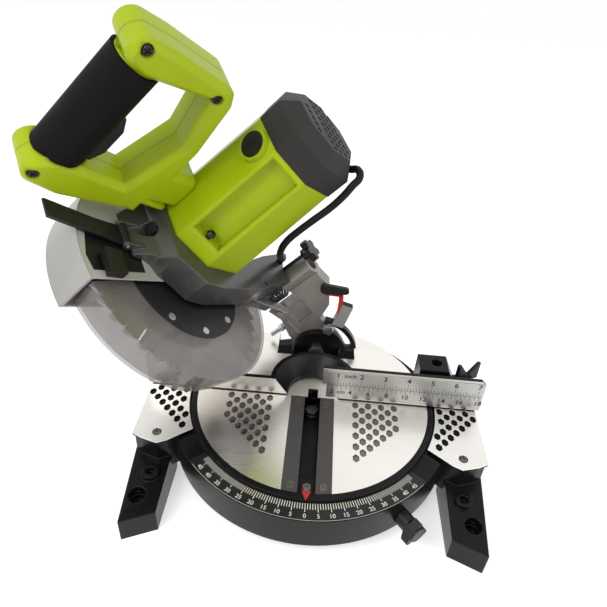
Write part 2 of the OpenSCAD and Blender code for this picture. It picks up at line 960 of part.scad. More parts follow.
module clamp_lock_screw() {
  color([0.1, 0.1, 0.1]) at_table() translate([wing_screw_x, wing_screw_y, 0]) {
    rod_z(wing_bolt_d / 2, nut_z - wing_screw_in + gap, nut_z + wing_nut_z, few);
    rod_z(wing_bolt_d * wing_hub_share, nut_z + gap, nut_z + wing_nut_z, few);
    for (a = [wing_nut_az, wing_nut_az + 180])
      rotate(a) hull() {
        rod_z(wing_nut_t, nut_z + wing_nut_z - wing_nut_low, nut_z + wing_nut_z, few);
        translate([wing_nut_r, 0, 0]) rod_z(wing_nut_t, nut_z + wing_nut_low,
          clamp_top - gap, few);
      }
  }
}

module disc_cut() {
  difference() {
    circle(disc_r, $fn = many);
    translate([-notch_x, bevel_y - notch_gap]) square([2 * notch_x, disc_r]);
  }
}
// The turning table's casting: rim, web, chip trough and the plate that carries the bevel
module turntable() {
  color([0.09, 0.09, 0.095]) at_table() difference() {
    union() {
      difference() {
        translate([0, 0, under_z]) linear_extrude(-plate_t - under_z) disc_cut();
        translate([0, 0, under_z - over])
          linear_extrude(-plate_t - under_z - floor_t + over) difference() {
            circle(disc_r - rim_wall, $fn = many);
            translate([-notch_x - floor_t, bevel_y - notch_gap - floor_t])
              square([2 * (notch_x + floor_t), disc_r]);
            circle(hub_boss_r, $fn = many);
          }
        box([-insert_x, ins_front - over, -insert_t], [insert_x, 0, 0]);
      }
      box([-chute_x - chute_t, chute_front, chute_z - floor_t],
        [chute_x + chute_t, chute_rear, -plate_t - eps]);
      bevel_plate();
    }
    box([-chute_x, chute_front + chute_t, chute_z], [chute_x, chute_rear - chute_t, over]);
    box([-insert_x - play, ins_front - over, -insert_t], [insert_x + play, insert_rear, over]);
    box([-kerf_x, ins_front + chute_t, front_floor], [kerf_x, 0, over]);
    rod_z(pivot_d / 2 + play, chute_z - floor_t - over, over);
    insert_holes() rod_z(screw_d / 2, -ins_screw_l - over, over, few);
    translate([0, point_y, 0]) rod_z(screw_d / 2, -ins_screw_l, over, few);
  }
  color([0.3, 0.3, 0.31]) at_table() trough_blocks();
}
// The two cast blocks in the trough, behind and ahead of the turning centre
module trough_blocks() {
  box([-chute_x + eps, block_y0, chute_z - eps], [chute_x - eps, block_y1, block_z]);
  box([-chute_x + eps, block_y2, chute_z - eps], [chute_x - eps, block_y3, block_z]);
}
module insert_holes() {
  for (y = [ins_y0, ins_y1])
    both() translate([ins_x, y, 0]) children();
}
module bevel_plate() {
  difference() {
    union() {
      rod_y(hub_r, bevel_y, bevel_y + bevel_t, many);
      box([-neck_x, chute_rear - chute_t, chute_z - floor_t], [neck_x, bevel_y +
        bevel_t, -neck_drop]);
      intersection() {
        rod_y(bevel_r, bevel_y, bevel_y + bevel_t, many);
        face(bevel_y, bevel_y + bevel_t) polygon([[0, 0],
          [2 * bevel_r * sin(slot_from - slot_pad), 2 * bevel_r * cos(slot_from - slot_pad)],
          [2 * bevel_r, 2 * bevel_r],
          [2 * bevel_r * sin(slot_to + slot_pad), 2 * bevel_r * cos(slot_to + slot_pad)]]);
      }
      face(bevel_y, bevel_y + bevel_t) scale_form(0, scale_root);
    }
    rod_y_bolt_hole();
    arc_slot();
  }
}
module rod_y_bolt_hole() {
  rod_y(bevel_bolt_d / 2 + play, bevel_y - over, bevel_y + bevel_t + over);
}
module arc_slot() {
  face(bevel_y - over, bevel_y + bevel_t + over) {
    for (a = [slot_from, slot_to])
      rotate(-a) translate([0, slot_r]) circle(slot_end_r, $fn = few);
    difference() {
      circle(slot_r + slot_w / 2, $fn = many);
      circle(slot_r - slot_w / 2, $fn = many);
      rotate(-slot_from) translate([-2 * bevel_r, -2 * bevel_r])
        square([2 * bevel_r, 4 * bevel_r]);
      rotate(-slot_to) translate([0, -2 * bevel_r]) square([2 * bevel_r, 4 * bevel_r]);
    }
  }
}
module scale_form(grow, root) {
  translate([scale_px, scale_pz]) rotate(-scale_lean)
    translate([-scale_w / 2 - grow, -scale_l / 2 - root])
      square([scale_w + 2 * grow, scale_l + root]);
}
module bevel_scale() {
  color([0.85, 0.84, 0.8]) at_table() face(bevel_y - ruler_t, bevel_y)
    scale_form(0, 0);
}
// One polished table plate with its columns of small domed dots
module table_plate() {
  color([0.74, 0.74, 0.74]) difference() {
    union() {
      translate([0, 0, -plate_t]) linear_extrude(plate_t) difference() {
        disc_cut();
        translate([-2 * disc_r, -2 * disc_r])
          square([2 * disc_r + insert_x + plate_gap, 4 * disc_r]);
      }
      translate([0, 0, -plate_t]) linear_extrude(plate_t) intersection() {
        disc_cut();
        translate([eps, insert_rear + plate_gap]) square([insert_x + over, disc_r]);
      }
    }
    translate([dot_x, dot_y, 0]) dots(dot_counts);
    box([-over, 0, -plate_t - over], [exit_x, exit_y, over]);
    bevel_clear();
  }
}
module bevel_clear() {
  box([-notch_x, chute_rear - chute_t - gap, -plate_t - over], [neck_x + gap, disc_r, over]);
}
module left_table_plate() {
  at_table() mirror([1, 0, 0]) table_plate();
}
module right_table_plate() {
  at_table() table_plate();
}
module insert_plate() {
  color([0.2, 0.2, 0.21]) difference() {
    translate([0, 0, -insert_t]) linear_extrude(insert_t) intersection() {
      circle(disc_r - lip_clear, $fn = many);
      translate([kerf_x, ins_front]) square([insert_x - kerf_x, insert_rear - ins_front]);
    }
    insert_holes() {
      rod_z(screw_d / 2 + play, -insert_t - over, over, few);
      translate([0, 0, -pan_h]) cylinder(d1 = screw_d, d2 = pan_d + over,
        h = pan_h + eps, $fn = few);
    }
  }
}
module left_insert() {
  at_table() mirror([1, 0, 0]) insert_plate();
}
module right_insert() {
  at_table() insert_plate();
}
module insert_screws() {
  color([0.7, 0.7, 0.72]) at_table() {
    insert_holes() difference() {
      union() {
        rod_z(screw_d / 2, -ins_screw_l, -pan_h, few);
        translate([0, 0, -pan_h]) cylinder(d1 = screw_d, d2 = pan_d,
          h = pan_h - gap, $fn = few);
      }
      for (a = [0, 90])
        rotate(a) translate([-pan_d * cross_share, -cross_w / 2, -cross_w])
          cube([2 * pan_d * cross_share, cross_w, cross_w + over]);
    }
    translate([block_bolt_x, (block_y0 + block_y1) / 2, block_z]) screw(screw_d, screw_d,
      screw_head_d, screw_head_h);
    translate([0, point_y, point_t + pointer_lift]) screw(ins_screw_l - point_t -
      pointer_lift);
  }
}
module mitre_pointer() {
  color([0.75, 0.08, 0.06]) at_table() translate([0, 0, pointer_lift]) difference() {
    union() {
      linear_extrude(point_t) polygon([[-point_w / 2, point_y + point_w / 2],
        [point_w / 2, point_y + point_w / 2], [point_w / 2, point_y - point_w / 2],
        [0, pointer_tip], [-point_w / 2, point_y - point_w / 2]]);
    }
    translate([0, point_y, 0]) rod_z(screw_d / 2 + play, -over, point_t + over, few);
  }
}
module bevel_pivot_bolt() {
  color([0.5, 0.5, 0.52]) at_table() {
    rod_y(bevel_bolt_d / 2, bevel_y - nut_h, back_y + brk_hub_t + gap);
    rod_y(bevel_bolt_d * nut_share, bevel_y - nut_h - eps, bevel_y - eps, 6);
    rod_y(bevel_bolt_d * nut_share, back_y + brk_hub_t + gap, back_y +
      brk_hub_t + gap + nut_h, 6);
  }
}

// Outline of the tilting bracket seen from the front, in the head's frame
module bracket_form() {
  polygon([[-brk_left, brk_low], [brk_mid, brk_low], [brk_x1, brk_z1], [brk_x2, brk_z2],
    [brk_x2, brk_z3], [boss_x1, brk_z4], [boss_x1, chop_z], [boss_x0, chop_z],
    [boss_x0 - over, brk_top], [-brk_neck, brk_top], [-brk_waist, brk_wz], [-brk_left, brk_low2]]);
}
module tilt_bracket() {
  color([0.11, 0.11, 0.115]) at_bevel() difference() {
    union() {
      difference() {
        union() {
          face(back_y, back_y + bracket_t) bracket_form();
          rod_y(bracket_hub_r, back_y, back_y + brk_hub_t, many);
          face(back_y, back_y + brk_hub_t)
            polygon([[-brk_left, brk_low + over], [-bracket_hub_r, 0], [bracket_hub_r, 0],
              [brk_mid, brk_low + over]]);
        }
        face(back_y - over, back_y + window_deep)
          polygon([[window_x0, window_z0], [window_x1, window_z0],
            [window_x1 + window_lean, window_z1], [window_x0 + window_lean, window_z1]]);
        face(back_y + brk_t, back_y + bracket_t + over)
          offset(delta = -brk_t) bracket_form();
      }
      translate([0, chop_y, chop_z]) rod_x(boss_r, boss_x0, boss_x1);
      for (x = rib_places)
        box([x, back_y - rib_out, brk_low], [x + rib_w, back_y + over, rib_top]);
      face(back_y + brk_t - over, back_y + bracket_t)
        intersection() {
          bracket_form();
          for (z = side_ribs)
            translate([0, z]) square([boss_x1, rib_w]);
        }
      link_lug();
    }
    translate([0, chop_y, chop_z]) {
      rod_x(chop_pin_d / 2, boss_x0 - over, boss_x1 - recess_l);
      rod_x(recess_r, boss_x1 - recess_l, boss_x1 + over);
      rod_x(spring_r + wire_d + gap, lug_x0 - pin_head_l - over, boss_x0);
    }
    translate([0, chop_y + lock_pin_dy, chop_z + lock_pin_dz])
      rod_x(lock_pin_d / 2 + play, boss_x0 - over, boss_x1 + over, few);
    rod_y(bevel_bolt_d / 2 + play, back_y - over, back_y + bracket_t + over);
    rotate([0, bolt_turn, 0]) translate([0, 0, slot_r])
      rod_y(lock_bolt_d / 2, back_y - over, back_y + bracket_t + over, few);
    translate([0, anchor_y, anchor_z]) rod_x(link_pin_r, link_lug_x0 - over, link_lug_x1 + over, few);
    translate([lever_x, 0, lever_z]) rod_y(lever_pin_d / 2 + play, back_y - over,
      back_y + brk_t + over, few);
    translate([0, stop_y, stop_z]) rod_x(stop_d / 2, -brk_left - over, -brk_left + stop_in, few);
  }
}
module link_lug() {
  hull() {
    translate([0, anchor_y, anchor_z]) rod_x(link_lug_r, link_lug_x0, link_lug_x1, few);
    box([link_lug_x0, back_y, anchor_z - link_lug_r], [link_lug_x1, back_y + over,
      anchor_z + link_lug_r]);
  }
}
module bevel_pointer() {
  color([0.75, 0.08, 0.06]) at_table() {
    face(bevel_y - pointer_far, bevel_y - pointer_far + point_t)
      polygon([[bp_x0, bp_z0], [bp_x0 + bp_w, bp_z0 - bp_w * bp_lean], [bp_tip_x, bp_tip_z]]);
    face(bevel_y - pointer_far, back_y)
      polygon([[bp_x0, bp_z0], [bp_x0 + bp_w, bp_z0 - bp_w * bp_lean],
        [bp_x0 + bp_w, bp_z0 + bp_up], [bp_x0, bp_z0 + bp_up]]);
    face(back_y - point_t, back_y)
      polygon([[bp_x0 - bp_root, bp_z0 + bp_low], [bp_x0 + bp_w, bp_z0], [bp_x0 + bp_w,
        bp_z0 + bp_up], [bp_x0 - bp_root, bp_z0 + bp_up]]);
  }
}
module bevel_lock_bolt() {
  color([0.65, 0.65, 0.67]) at_bevel() rotate([0, bolt_turn, 0]) translate([0, 0, slot_r]) {
    rod_y(lock_bolt_d / 2, bevel_y - washer_t, back_y + brk_t, few);
    rod_y(slot_w * washer_share, bevel_y - washer_t - play, bevel_y - play, few);
    rod_y(lock_bolt_d * nut_share, bevel_y - washer_t - nut_h, bevel_y - washer_t - play, 6);
  }
}
module bevel_lock_lever() {
  color([0.1, 0.1, 0.1]) at_bevel() translate([lever_x, 0, lever_z]) {
    rod_y(lever_pin_d / 2, back_y - gap - lever_t, back_y + brk_t - over, few);
    hull() {
      rod_y(lever_hub_r, back_y - gap - lever_t, back_y - gap, few);
      translate([lever_dx, 0, -lever_dz]) rod_y(lever_tip_r, back_y - gap - lever_t,
        back_y - 2 * gap, few);
    }
  }
}
module bevel_stop_screw() {
  color([0.6, 0.6, 0.62]) at_bevel() translate([0, stop_y, stop_z]) {
    rod_x(stop_d / 2, -brk_left - stop_l, -brk_left + stop_in, few);
    rod_x(stop_d * nut_share, -brk_left - nut_h, -brk_left, 6);
  }
}
module chop_pivot_pin() {
  color([0.6, 0.6, 0.62]) at_bevel() translate([0, chop_y, chop_z]) {
    rod_x(chop_pin_d / 2, lug_x0 - gap, boss_x1 - recess_l);
    rod_x(recess_r, lug_x0 - gap - pin_head_l, lug_x0 - gap);
  }
}
// The pin that holds the head down, with its star knob
module chop_lock_pin() {
  color([0.09, 0.09, 0.095]) at_bevel()
    translate([0, chop_y + lock_pin_dy, chop_z + lock_pin_dz]) {
      rod_x(lock_pin_d / 2, boss_x0, boss_x1 + gap, few);
      rod_x(star_r * hub_share, boss_x1 + gap, boss_x1 + star_t, few);
      for (a = [0:360 / star_points:359])
        rotate([a, 0, 0]) side(boss_x1 + star_t - star_w, boss_x1 + star_t)
          polygon([[-star_tip, star_r], [star_tip, star_r], [star_r * hub_share, 0],
            [-star_r * hub_share, 0]]);
    }
}
// A point on the spring's wire, its axis along X
function spring_point(a) = [spring_x0 + wire_d / 2 + spring_pitch * a / 360,
  spring_r * cos(a), spring_r * sin(a)];
function spring_ring(a) = [for (s = [0:wire_fn - 1])
  let (t = 360 * s / wire_fn, r = spring_r + wire_d / 2 * cos(t))
    [spring_point(a)[0] + wire_d / 2 * sin(t), r * cos(a), r * sin(a)]];
spring_steps = spring_curls * spring_ring_count;
spring_gap = norm(spring_point(0) - spring_point(360)) - wire_d;
module return_spring() {
  points = [for (i = [0:spring_steps]) each spring_ring(spring_start + 360 * i / spring_ring_count)];
  last = spring_steps * wire_fn;
  walls = [for (i = [0:spring_steps - 1], s = [0:wire_fn - 1])
    let (a = i * wire_fn + s, b = i * wire_fn + (s + 1) % wire_fn)
      each [[a, b, b + wire_fn], [a, b + wire_fn, a + wire_fn]]];
  ends = [for (s = [1:wire_fn - 2]) each [[0, s + 1, s], [last, last + s, last + s + 1]]];
  echo(spring_gap = spring_gap);
  color([0.1, 0.1, 0.1]) at_bevel() translate([0, chop_y, chop_z])
    translate([-spring_pitch * spring_start / 360, 0, 0])
      polyhedron(points, concat(walls, ends));
}
// The flat link between the bracket and the lower guard
module guard_link() {
  color([0.6, 0.6, 0.61]) at_bevel() translate([0, anchor_y, anchor_z]) rotate([link_angle, 0, 0]) {
    difference() {
      hull() {
        rod_x(link_w / 2, link_x0, link_x1, few);
        translate([0, link_l, 0]) rod_x(link_w / 2, link_x0, link_x1, few);
      }
      translate([0, link_l, 0]) rod_x(link_hole_r, link_x0 - over, link_x1 + over, few);
    }
    rod_x(link_pin_r - play, link_lug_x0, link_x0 + eps, few);
    rod_x(link_pin_r + over, link_lug_x1 + gap, link_x0 + eps, few);
  }
}

// A point in the head's frame from shares of the arm's length and height
function arm_point(p) = [chop_y - arm_l * p[0], arbor_z + arm_h * p[1]];
module arm_outline() {
  polygon([for (p = arm_shares) arm_point(p)]);
}
module arm_plan() {
  polygon([[arm_x0, chop_y - arm_l], [arm_mid_x, chop_y - arm_l + arm_slant],
    [arm_x1, chop_y - arm_l + arm_slant + arm_slant_2], [arm_x1, chop_y + lug_r],
    [arm_x0, chop_y + lug_r]]);
}
module at_arbor() {
  translate([0, arbor_y, arbor_z]) children();
}
module at_motor() {
  translate([0, motor_y, motor_z]) children();
}
// The gearbox casting with its rear lug on the head's hinge
module arm_casting() {
  color([0.3, 0.3, 0.31]) at_head() difference() {
    union() {
      intersection() {
        side(arm_x0, arm_x1) arm_outline();
        linear_extrude(3 * arm_h, center = true) arm_plan();
      }
      at_arbor() rod_x(nose_r, nose_x, arm_x0 + over);
      box([lug_x0, rear_y0, rear_z0], [arm_x0 + over, rear_y1, rear_z1]);
      hull() {
        translate([0, chop_y, chop_z]) rod_x(lug_r, lug_x0, lug_x1);
        box([lug_x0, rear_y0, rear_z0], [lug_x1, rear_y0 + over, rear_z1]);
      }
      for (z = lug_zs)
        hinge_lug(z);
    }
    translate([0, chop_y, chop_z]) {
      rod_x(chop_pin_d / 2 + play, lug_x0 - over, lug_x1 + over);
      rod_x(spring_r + wire_d / 2 + gap, lug_x1, boss_x0 + over);
      rod_x(lock_pin_dz + lock_pin_d, boss_x0 - over, arm_x1 + over);
    }
    at_arbor() {
      rod_x(bearing_out, nose_x + nose_lip, arm_x1 - arm_cover);
      rod_x(arbor_d / 2 + over, nose_x - over, nose_x + 2 * nose_lip);
      rod_x(gear_room, gear_x0 - over, arm_x1 - arm_cover - bearing_w2);
    }
    at_motor() {
      rod_x(pinion_room, gear_x0 - over, arm_x1 - over);
      rod_x(motor_a - case_t - over, arm_x1 - arm_pocket, arm_x1 + over);
    }
    translate([button_x, 0, button_z]) {
      rod_y(button_recess_r, chop_y - arm_l, button_y - button_travel, few);
      rod_y(button_r + play, chop_y - arm_l, button_y + button_travel + over, few);
      rod_y(button_pin_r + play, button_y, button_y + button_l + button_pin_l, few);
    }
    translate([hinge_x, hinge_y, 0]) {
      rod_z(lever_pin_r, lug_zs[0] - over, lug_zs[1] + lug_t + over, few);
      rod_z(hinge_lug_r + gap, lug_zs[0] + lug_t, lug_zs[1], few);
    }
    for (p = arm_screws)
      translate([0, p[0], p[1]]) rod_x(screw_d / 2, arm_x0 + over, arm_x1 + over, few);
    translate([0, lead_end[1], lead_end[2]])
      rod_x(lead_r, arm_x1 - lead_in, arm_x1 + over, few);
  }
}
module hinge_lug(z) {
  hull() {
    translate([hinge_x, hinge_y, 0]) rod_z(hinge_lug_r, z, z + lug_t, few);
    translate([hinge_x + over, hinge_y + hinge_lug_l, 0])
      rod_z(hinge_lug_r, z, z + lug_t, few);
  }
}
module upper_region() {
  polygon([for (p = guard_shares) [arbor_y + upper_r * p[0], arbor_z + upper_r * p[1]]]);
}
module upper_guard() {
  color([0.62, 0.62, 0.61]) at_head() difference() {
    union() {
      intersection() {
        side(-guard_left - over, arm_x0) upper_region();
        at_arbor() difference() {
          rod_x(upper_r, -guard_left, arm_x0, many);
          rod_x(upper_r - upper_wall, -guard_left + upper_wall, arm_x0 - guard_right_t, many);
          rod_x(nose_r + play, 0, arm_x0 + over);
        }
      }
      side(arm_x0 - field_in, arm_x0 - guard_right_t / 2) offset(delta = field_rim) guard_field();
    }
    side(arm_x0 - guard_right_t, arm_x0 + over) guard_field();
  }
}
// The sunk dark field beside the release lever
module guard_field() {
  polygon([for (p = field_shares) [arbor_y + upper_r * p[0], arbor_z + upper_r * p[1]]]);
}
module guard_latch() {
  color([0.08, 0.08, 0.08]) at_head()
    side(arm_x0, arm_x0 + latch_t) polygon([for (p = latch_shares)
      [arbor_y + upper_r * p[0], arbor_z + upper_r * p[1]]]);
}
// An eight-sided frustum along X with flats at the front, below and between
module octagon(a0, a1, x0, x1) {
  translate([x0, 0, 0]) rotate([0, 90, 0]) rotate(22.5)
    cylinder(r1 = a0 / cos(22.5), r2 = a1 / cos(22.5), h = x1 - x0, $fn = 8);
}
function flat_at(x) = motor_a + (a_end - motor_a) * (x - arm_x1) / motor_l;
module motor_housing() {
  color([0.63, 0.72, 0.06]) at_head() difference() {
    at_motor() difference() {
      union() {
        octagon(motor_a, a_end, arm_x1, motor_x1);
        for (s = [-1, 1])
          translate([brush_x, 0, 0])
            rod_side(s, brush_r + collar_w, a_end - case_t, flat_at(brush_x) + brush_t);
      }
      difference() {
        octagon(motor_a - case_t, a_end - case_t, arm_x1 - eps, motor_x1 + eps);
        channel(case_t);
      }
      for (s = [-1, 1])
        translate([brush_x, 0, 0]) {
          rod_side(s, brush_hole_r, 0, motor_a + over);
          rod_side(s, brush_r + gap, flat_at(brush_x), motor_a + over + brush_t);
        }
      channel();
    }
  }
}
// The sunk run on the lower front flat that holds the housing's screw
module channel(grow = 0) {
  rotate([45, 0, 0]) translate([0, -motor_a - over, 0])
    box([arm_x1 + channel_from - grow, 0, -channel_w / 2 - grow], [motor_x1 - channel_end + grow,
      motor_a - flat_at(motor_x1) + channel_deep + over + grow, channel_w / 2 + grow]);
}
module rod_side(s, r, y0, y1) {
  scale([1, s, 1]) rod_y(r, y0, y1, few);
}
module motor_end_cap() {
  color([0.21, 0.2, 0.2]) at_head() difference() {
    at_motor() difference() {
      union() {
        octagon(a_end + cap_lip, a_end + cap_lip, motor_x1, cap_x1 - cap_c);
        octagon(a_end + cap_lip, a_end + cap_lip - cap_c, cap_x1 - cap_c - eps, cap_x1);
      }
      octagon(a_end - case_t, a_end - case_t, motor_x1 - over, cap_x1 - cap_c);
      for (row = [-vent_rows:vent_rows], col = [0:vent_cols - 1])
        translate([cap_x1 - cap_c - over, vent_y + col * vent_dy, row * vent_dz])
          rod_x(vent_r, 0, cap_c + 2 * over, few);
      for (row = [-strip_rows:strip_rows])
        translate([cap_x1 - cap_c - over, strip_y, row * vent_dz])
          rod_x(vent_r, 0, cap_c + 2 * over, few);
    }
    translate(lead_pts[0]) rotate([0, 0, lead_turn]) rod_y(lead_r, -lead_in, lead_in, few);
  }
  color([0.21, 0.2, 0.2]) at_head() at_motor() difference() {
    rod_x(rear_seat_r, cap_x1 - cap_c - bearing_l - over, cap_x1 - cap_c + eps);
    rod_x(rear_bearing_r, cap_x1 - cap_c - bearing_l - 2 * over, cap_x1 - cap_c - over);
  }
}
module brush_caps() {
  color([0.08, 0.08, 0.085]) at_head() at_motor() translate([brush_x, 0, 0]) for (s = [-1, 1]) {
    difference() {
      union() {
        rod_side(s, brush_hole_r, flat_at(brush_x) - case_t - over, flat_at(brush_x) + over);
        rod_side(s, brush_r, flat_at(brush_x) + brush_lift,
          flat_at(brush_x) + brush_lift + brush_t);
      }
      scale([1, s, 1]) box([-brush_r * hub_share, flat_at(brush_x) + brush_lift +
        brush_t - over, -over], [brush_r * hub_share, flat_at(brush_x) +
        brush_lift + brush_t + over, over]);
    }
  }
}
module brushes() {
  color([0.15, 0.15, 0.15]) at_head() at_motor() for (s = [-1, 1])
    scale([1, s, 1]) box([brush_x - brush_w / 2, commutator_r + gap, -brush_w / 2],
      [brush_x + brush_w / 2, flat_at(brush_x) - case_t - over, brush_w / 2]);
}
module stator() {
  color([0.35, 0.33, 0.32]) at_head() at_motor() difference() {
    octagon(flat_at(stator_x1) - case_t, flat_at(stator_x1) - case_t, stator_x0,
      stator_x1);
    rod_x(core_r + over, stator_x0 - over, stator_x1 + over);
    channel(case_t + gap);
  }
}
module ring_x(ro, ri, x0, x1) {
  difference() {
    rod_x(ro, x0, x1);
    rod_x(ri, x0 - over, x1 + over);
  }
}
module bearings() {
  color([0.6, 0.6, 0.62]) at_head() {
    at_arbor() {
      ring_x(bearing_out, arbor_d / 2 + play, nose_x + nose_lip, nose_x + nose_lip + bearing_l);
      ring_x(bearing_out, arbor_d / 2 + play, arm_x1 - arm_cover - bearing_l, arm_x1 - arm_cover);
    }
    at_motor() {
      ring_x(pinion_room, shaft_d / 2 + play, arm_x1 - arm_pocket - bearing_l, arm_x1 - arm_pocket);
      ring_x(rear_bearing_r, shaft_d / 2 + play, cap_x1 - cap_c - over - bearing_l,
        cap_x1 - cap_c - over);
    }
  }
}
// Flank angle of an involute tooth at radius r, in degrees
function inv(a) = tan(a) * 180 / PI - a;
function flank(teeth, m, r) = let (rb = m * teeth / 2 * cos(pressure))
  (90 - play_share * 90) / teeth + inv(pressure) - inv(acos(min(1, rb / r)));
module gear_shape(teeth, m) {
  rp = m * teeth / 2;
  rb = rp * cos(pressure);
  tip = rp + m * addendum_share;
  root = rp - m * dedendum_share;
  start = max(rb, root);
  radii = [for (i = [0:flank_steps]) start + (tip - start) * i / flank_steps];
  polygon([for (k = [0:teeth - 1]) each concat([[root * cos(360 * k / teeth - flank(teeth, m, start)),
      root * sin(360 * k / teeth - flank(teeth, m, start))]],
    [for (r = radii) let (a = 360 * k / teeth - flank(teeth, m, r)) [r * cos(a), r * sin(a)]],
    [for (i = [flank_steps:-1:0]) let (r = radii[i], a = 360 * k / teeth + flank(teeth, m, r))
      [r * cos(a), r * sin(a)]], [[root * cos(360 * k / teeth + flank(teeth, m, start)),
      root * sin(360 * k / teeth + flank(teeth, m, start))]])]);
}
gear_module = 2 * gear_centre / (gear_teeth + pinion_teeth);
module arbor_gear() {
  color([0.5, 0.5, 0.52]) at_head() at_arbor() difference() {
    side(gear_x0, gear_x1) rotate(90 - gear_lean) gear_shape(gear_teeth, gear_module);
    rod_x(arbor_d / 2, gear_x0 - over, gear_x1 + over);
  }
}
module armature() {
  color([0.45, 0.35, 0.25]) at_head() at_motor() {
    side(gear_x0 - over, gear_x1 + over) rotate(270 - gear_lean + 180 / pinion_teeth)
      gear_shape(pinion_teeth, gear_module);
    rod_x(shaft_d / 2, gear_x1, cap_x1 - cap_c - over - eps);
    rod_x(core_r, core_x0, core_x1);
    rod_x(commutator_r, brush_x - commutator_l / 2, brush_x + commutator_l / 2);
  }
}
module cooling_fan() {
  color([0.1, 0.1, 0.1]) at_head() at_motor() {
    difference() {
      rod_x(fan_r, fan_x0, fan_x0 + fan_disc_t);
      rod_x(shaft_d / 2, fan_x0 - over, fan_x0 + fan_l + over);
    }
    ring_x(fan_hub_r, shaft_d / 2, fan_x0, fan_x0 + fan_l);
    for (k = [0:fan_blades - 1])
      rotate([360 * k / fan_blades, 0, 0])
        box([fan_x0, fan_hub_r - over, -fan_blade_t / 2], [fan_x0 + fan_l, fan_r, fan_blade_t / 2]);
  }
}
module saw_blade() {
  root = blade_d / 2 - tooth_h;
  color([0.68, 0.68, 0.7]) at_head() at_arbor() difference() {
    side(-blade_t / 2, blade_t / 2) polygon([for (k = [0:blade_teeth - 1])
      let (a = -360 * k / blade_teeth, s = 360 / blade_teeth)
        each [[root * cos(a), root * sin(a)], [(root + tooth_h * hub_share) * cos(a - s * gullet_share),
            (root + tooth_h * hub_share) * sin(a - s * gullet_share)],
          [blade_d / 2 * cos(a - s * tooth_share), blade_d / 2 * sin(a - s * tooth_share)],
          [blade_d / 2 * cos(a - s * tip_share), blade_d / 2 * sin(a - s * tip_share)]]]);
    rod_x(arbor_d / 2, -blade_t, blade_t);
    for (k = [0:slits - 1])
      rotate([360 * (k + hub_share) / slits, 0, 0])
        box([-blade_t, blade_d / 2 - slit_l, -slit_w / 2], [blade_t, blade_d, slit_w / 2]);
  }
}
module arbor_shaft() {
  color([0.55, 0.55, 0.57]) at_head() at_arbor() difference() {
    rod_x(arbor_d / 2, -blade_t / 2 - over, arm_x1 - arm_cover - eps);
    rod_x(arbor_bolt_d / 2, -blade_t - over, arbor_bolt_in);
  }
}
module inner_flange() {
  color([0.6, 0.6, 0.62]) at_head() at_arbor()
    ring_x(flange_d / 2, arbor_d / 2, blade_t / 2, nose_x - gap);
}
module outer_flange() {
  color([0.6, 0.6, 0.62]) at_head() at_arbor() difference() {
    rod_x(flange_d / 2, -blade_t / 2 - flange_out_t, -blade_t / 2);
    rod_x(arbor_d / 2, -blade_t / 2 - 2 * over + eps, blade_t);
    rod_x(arbor_bolt_d / 2, -guard_left, blade_t);
  }
}
module arbor_bolt() {
  color([0.3, 0.3, 0.32]) at_head() at_arbor() {
    rod_x(arbor_bolt_d / 2, -blade_t / 2 - flange_out_t - eps, arbor_bolt_in - over, few);
    rod_x(arbor_bolt_d * nut_share, -blade_t / 2 - flange_out_t - arbor_bolt_d * hub_share -
      over, -blade_t / 2 - flange_out_t, 6);
  }
}
// Sector of the lower guard between two angles in the head's frame
module guard_sector(from, to) {
  polygon(concat([[0, 0]], [for (i = [0:sector_steps])
    let (a = from + (to - from) * i / sector_steps) 2 * lower_r * [cos(a), sin(a)]]));
}
module lower_guard() {
  left = guard_left - upper_wall - lower_play;
  right = lower_x1;
  color([0.25, 0.24, 0.25]) at_head() at_arbor() difference() {
    union() {
      intersection() {
        side(-left, right) guard_sector(lower_from, lower_to);
        difference() {
          translate([-left, 0, 0]) rotate([0, 90, 0])
            cylinder(r1 = lower_left_r, r2 = lower_r, h = left + right, $fn = many);
          translate([lower_wall - left, 0, 0]) rotate([0, 90, 0])
            cylinder(r1 = lower_left_r - lower_wall, r2 = lower_r - lower_wall,
              h = left + right - 2 * lower_wall, $fn = many);
          rod_x(lower_open_r, -left - over, -left + lower_wall + over, many);
        }
      }
      rod_x(nose_r + lower_hub_w, right - lower_wall, right);
    }
    rod_x(nose_r + play, 0, right + over);
  }
}
module guard_hub_plate() {
  color([0.07, 0.07, 0.075]) at_head() at_arbor() difference() {
    intersection() {
      rod_x(hub_plate_r, lower_x1, lower_x1 + hub_plate_t, many);
      side(0, arm_x0) union() {
        guard_sector(lower_from, lower_to);
        circle(nose_r + lower_hub_w);
      }
    }
    rod_x(nose_r + play, 0, arm_x0);
    for (a = rivet_angles)
      rotate([a, 0, 0]) translate([0, rivet_r, 0])
        rod_x(rivet_d / 2, 0, arm_x0, few);
  }
}
module guard_rivets() {
  color([0.85, 0.85, 0.84]) at_head() at_arbor() for (a = rivet_angles)
    rotate([a, 0, 0]) translate([0, rivet_r, 0]) {
      rod_x(rivet_d / 2, lower_x1, lower_x1 + hub_plate_t, few);
      rod_x(rivet_d * rivet_head_share, lower_x1 + hub_plate_t, lower_x1 + hub_plate_t +
        rivet_head_h, few);
    }
}

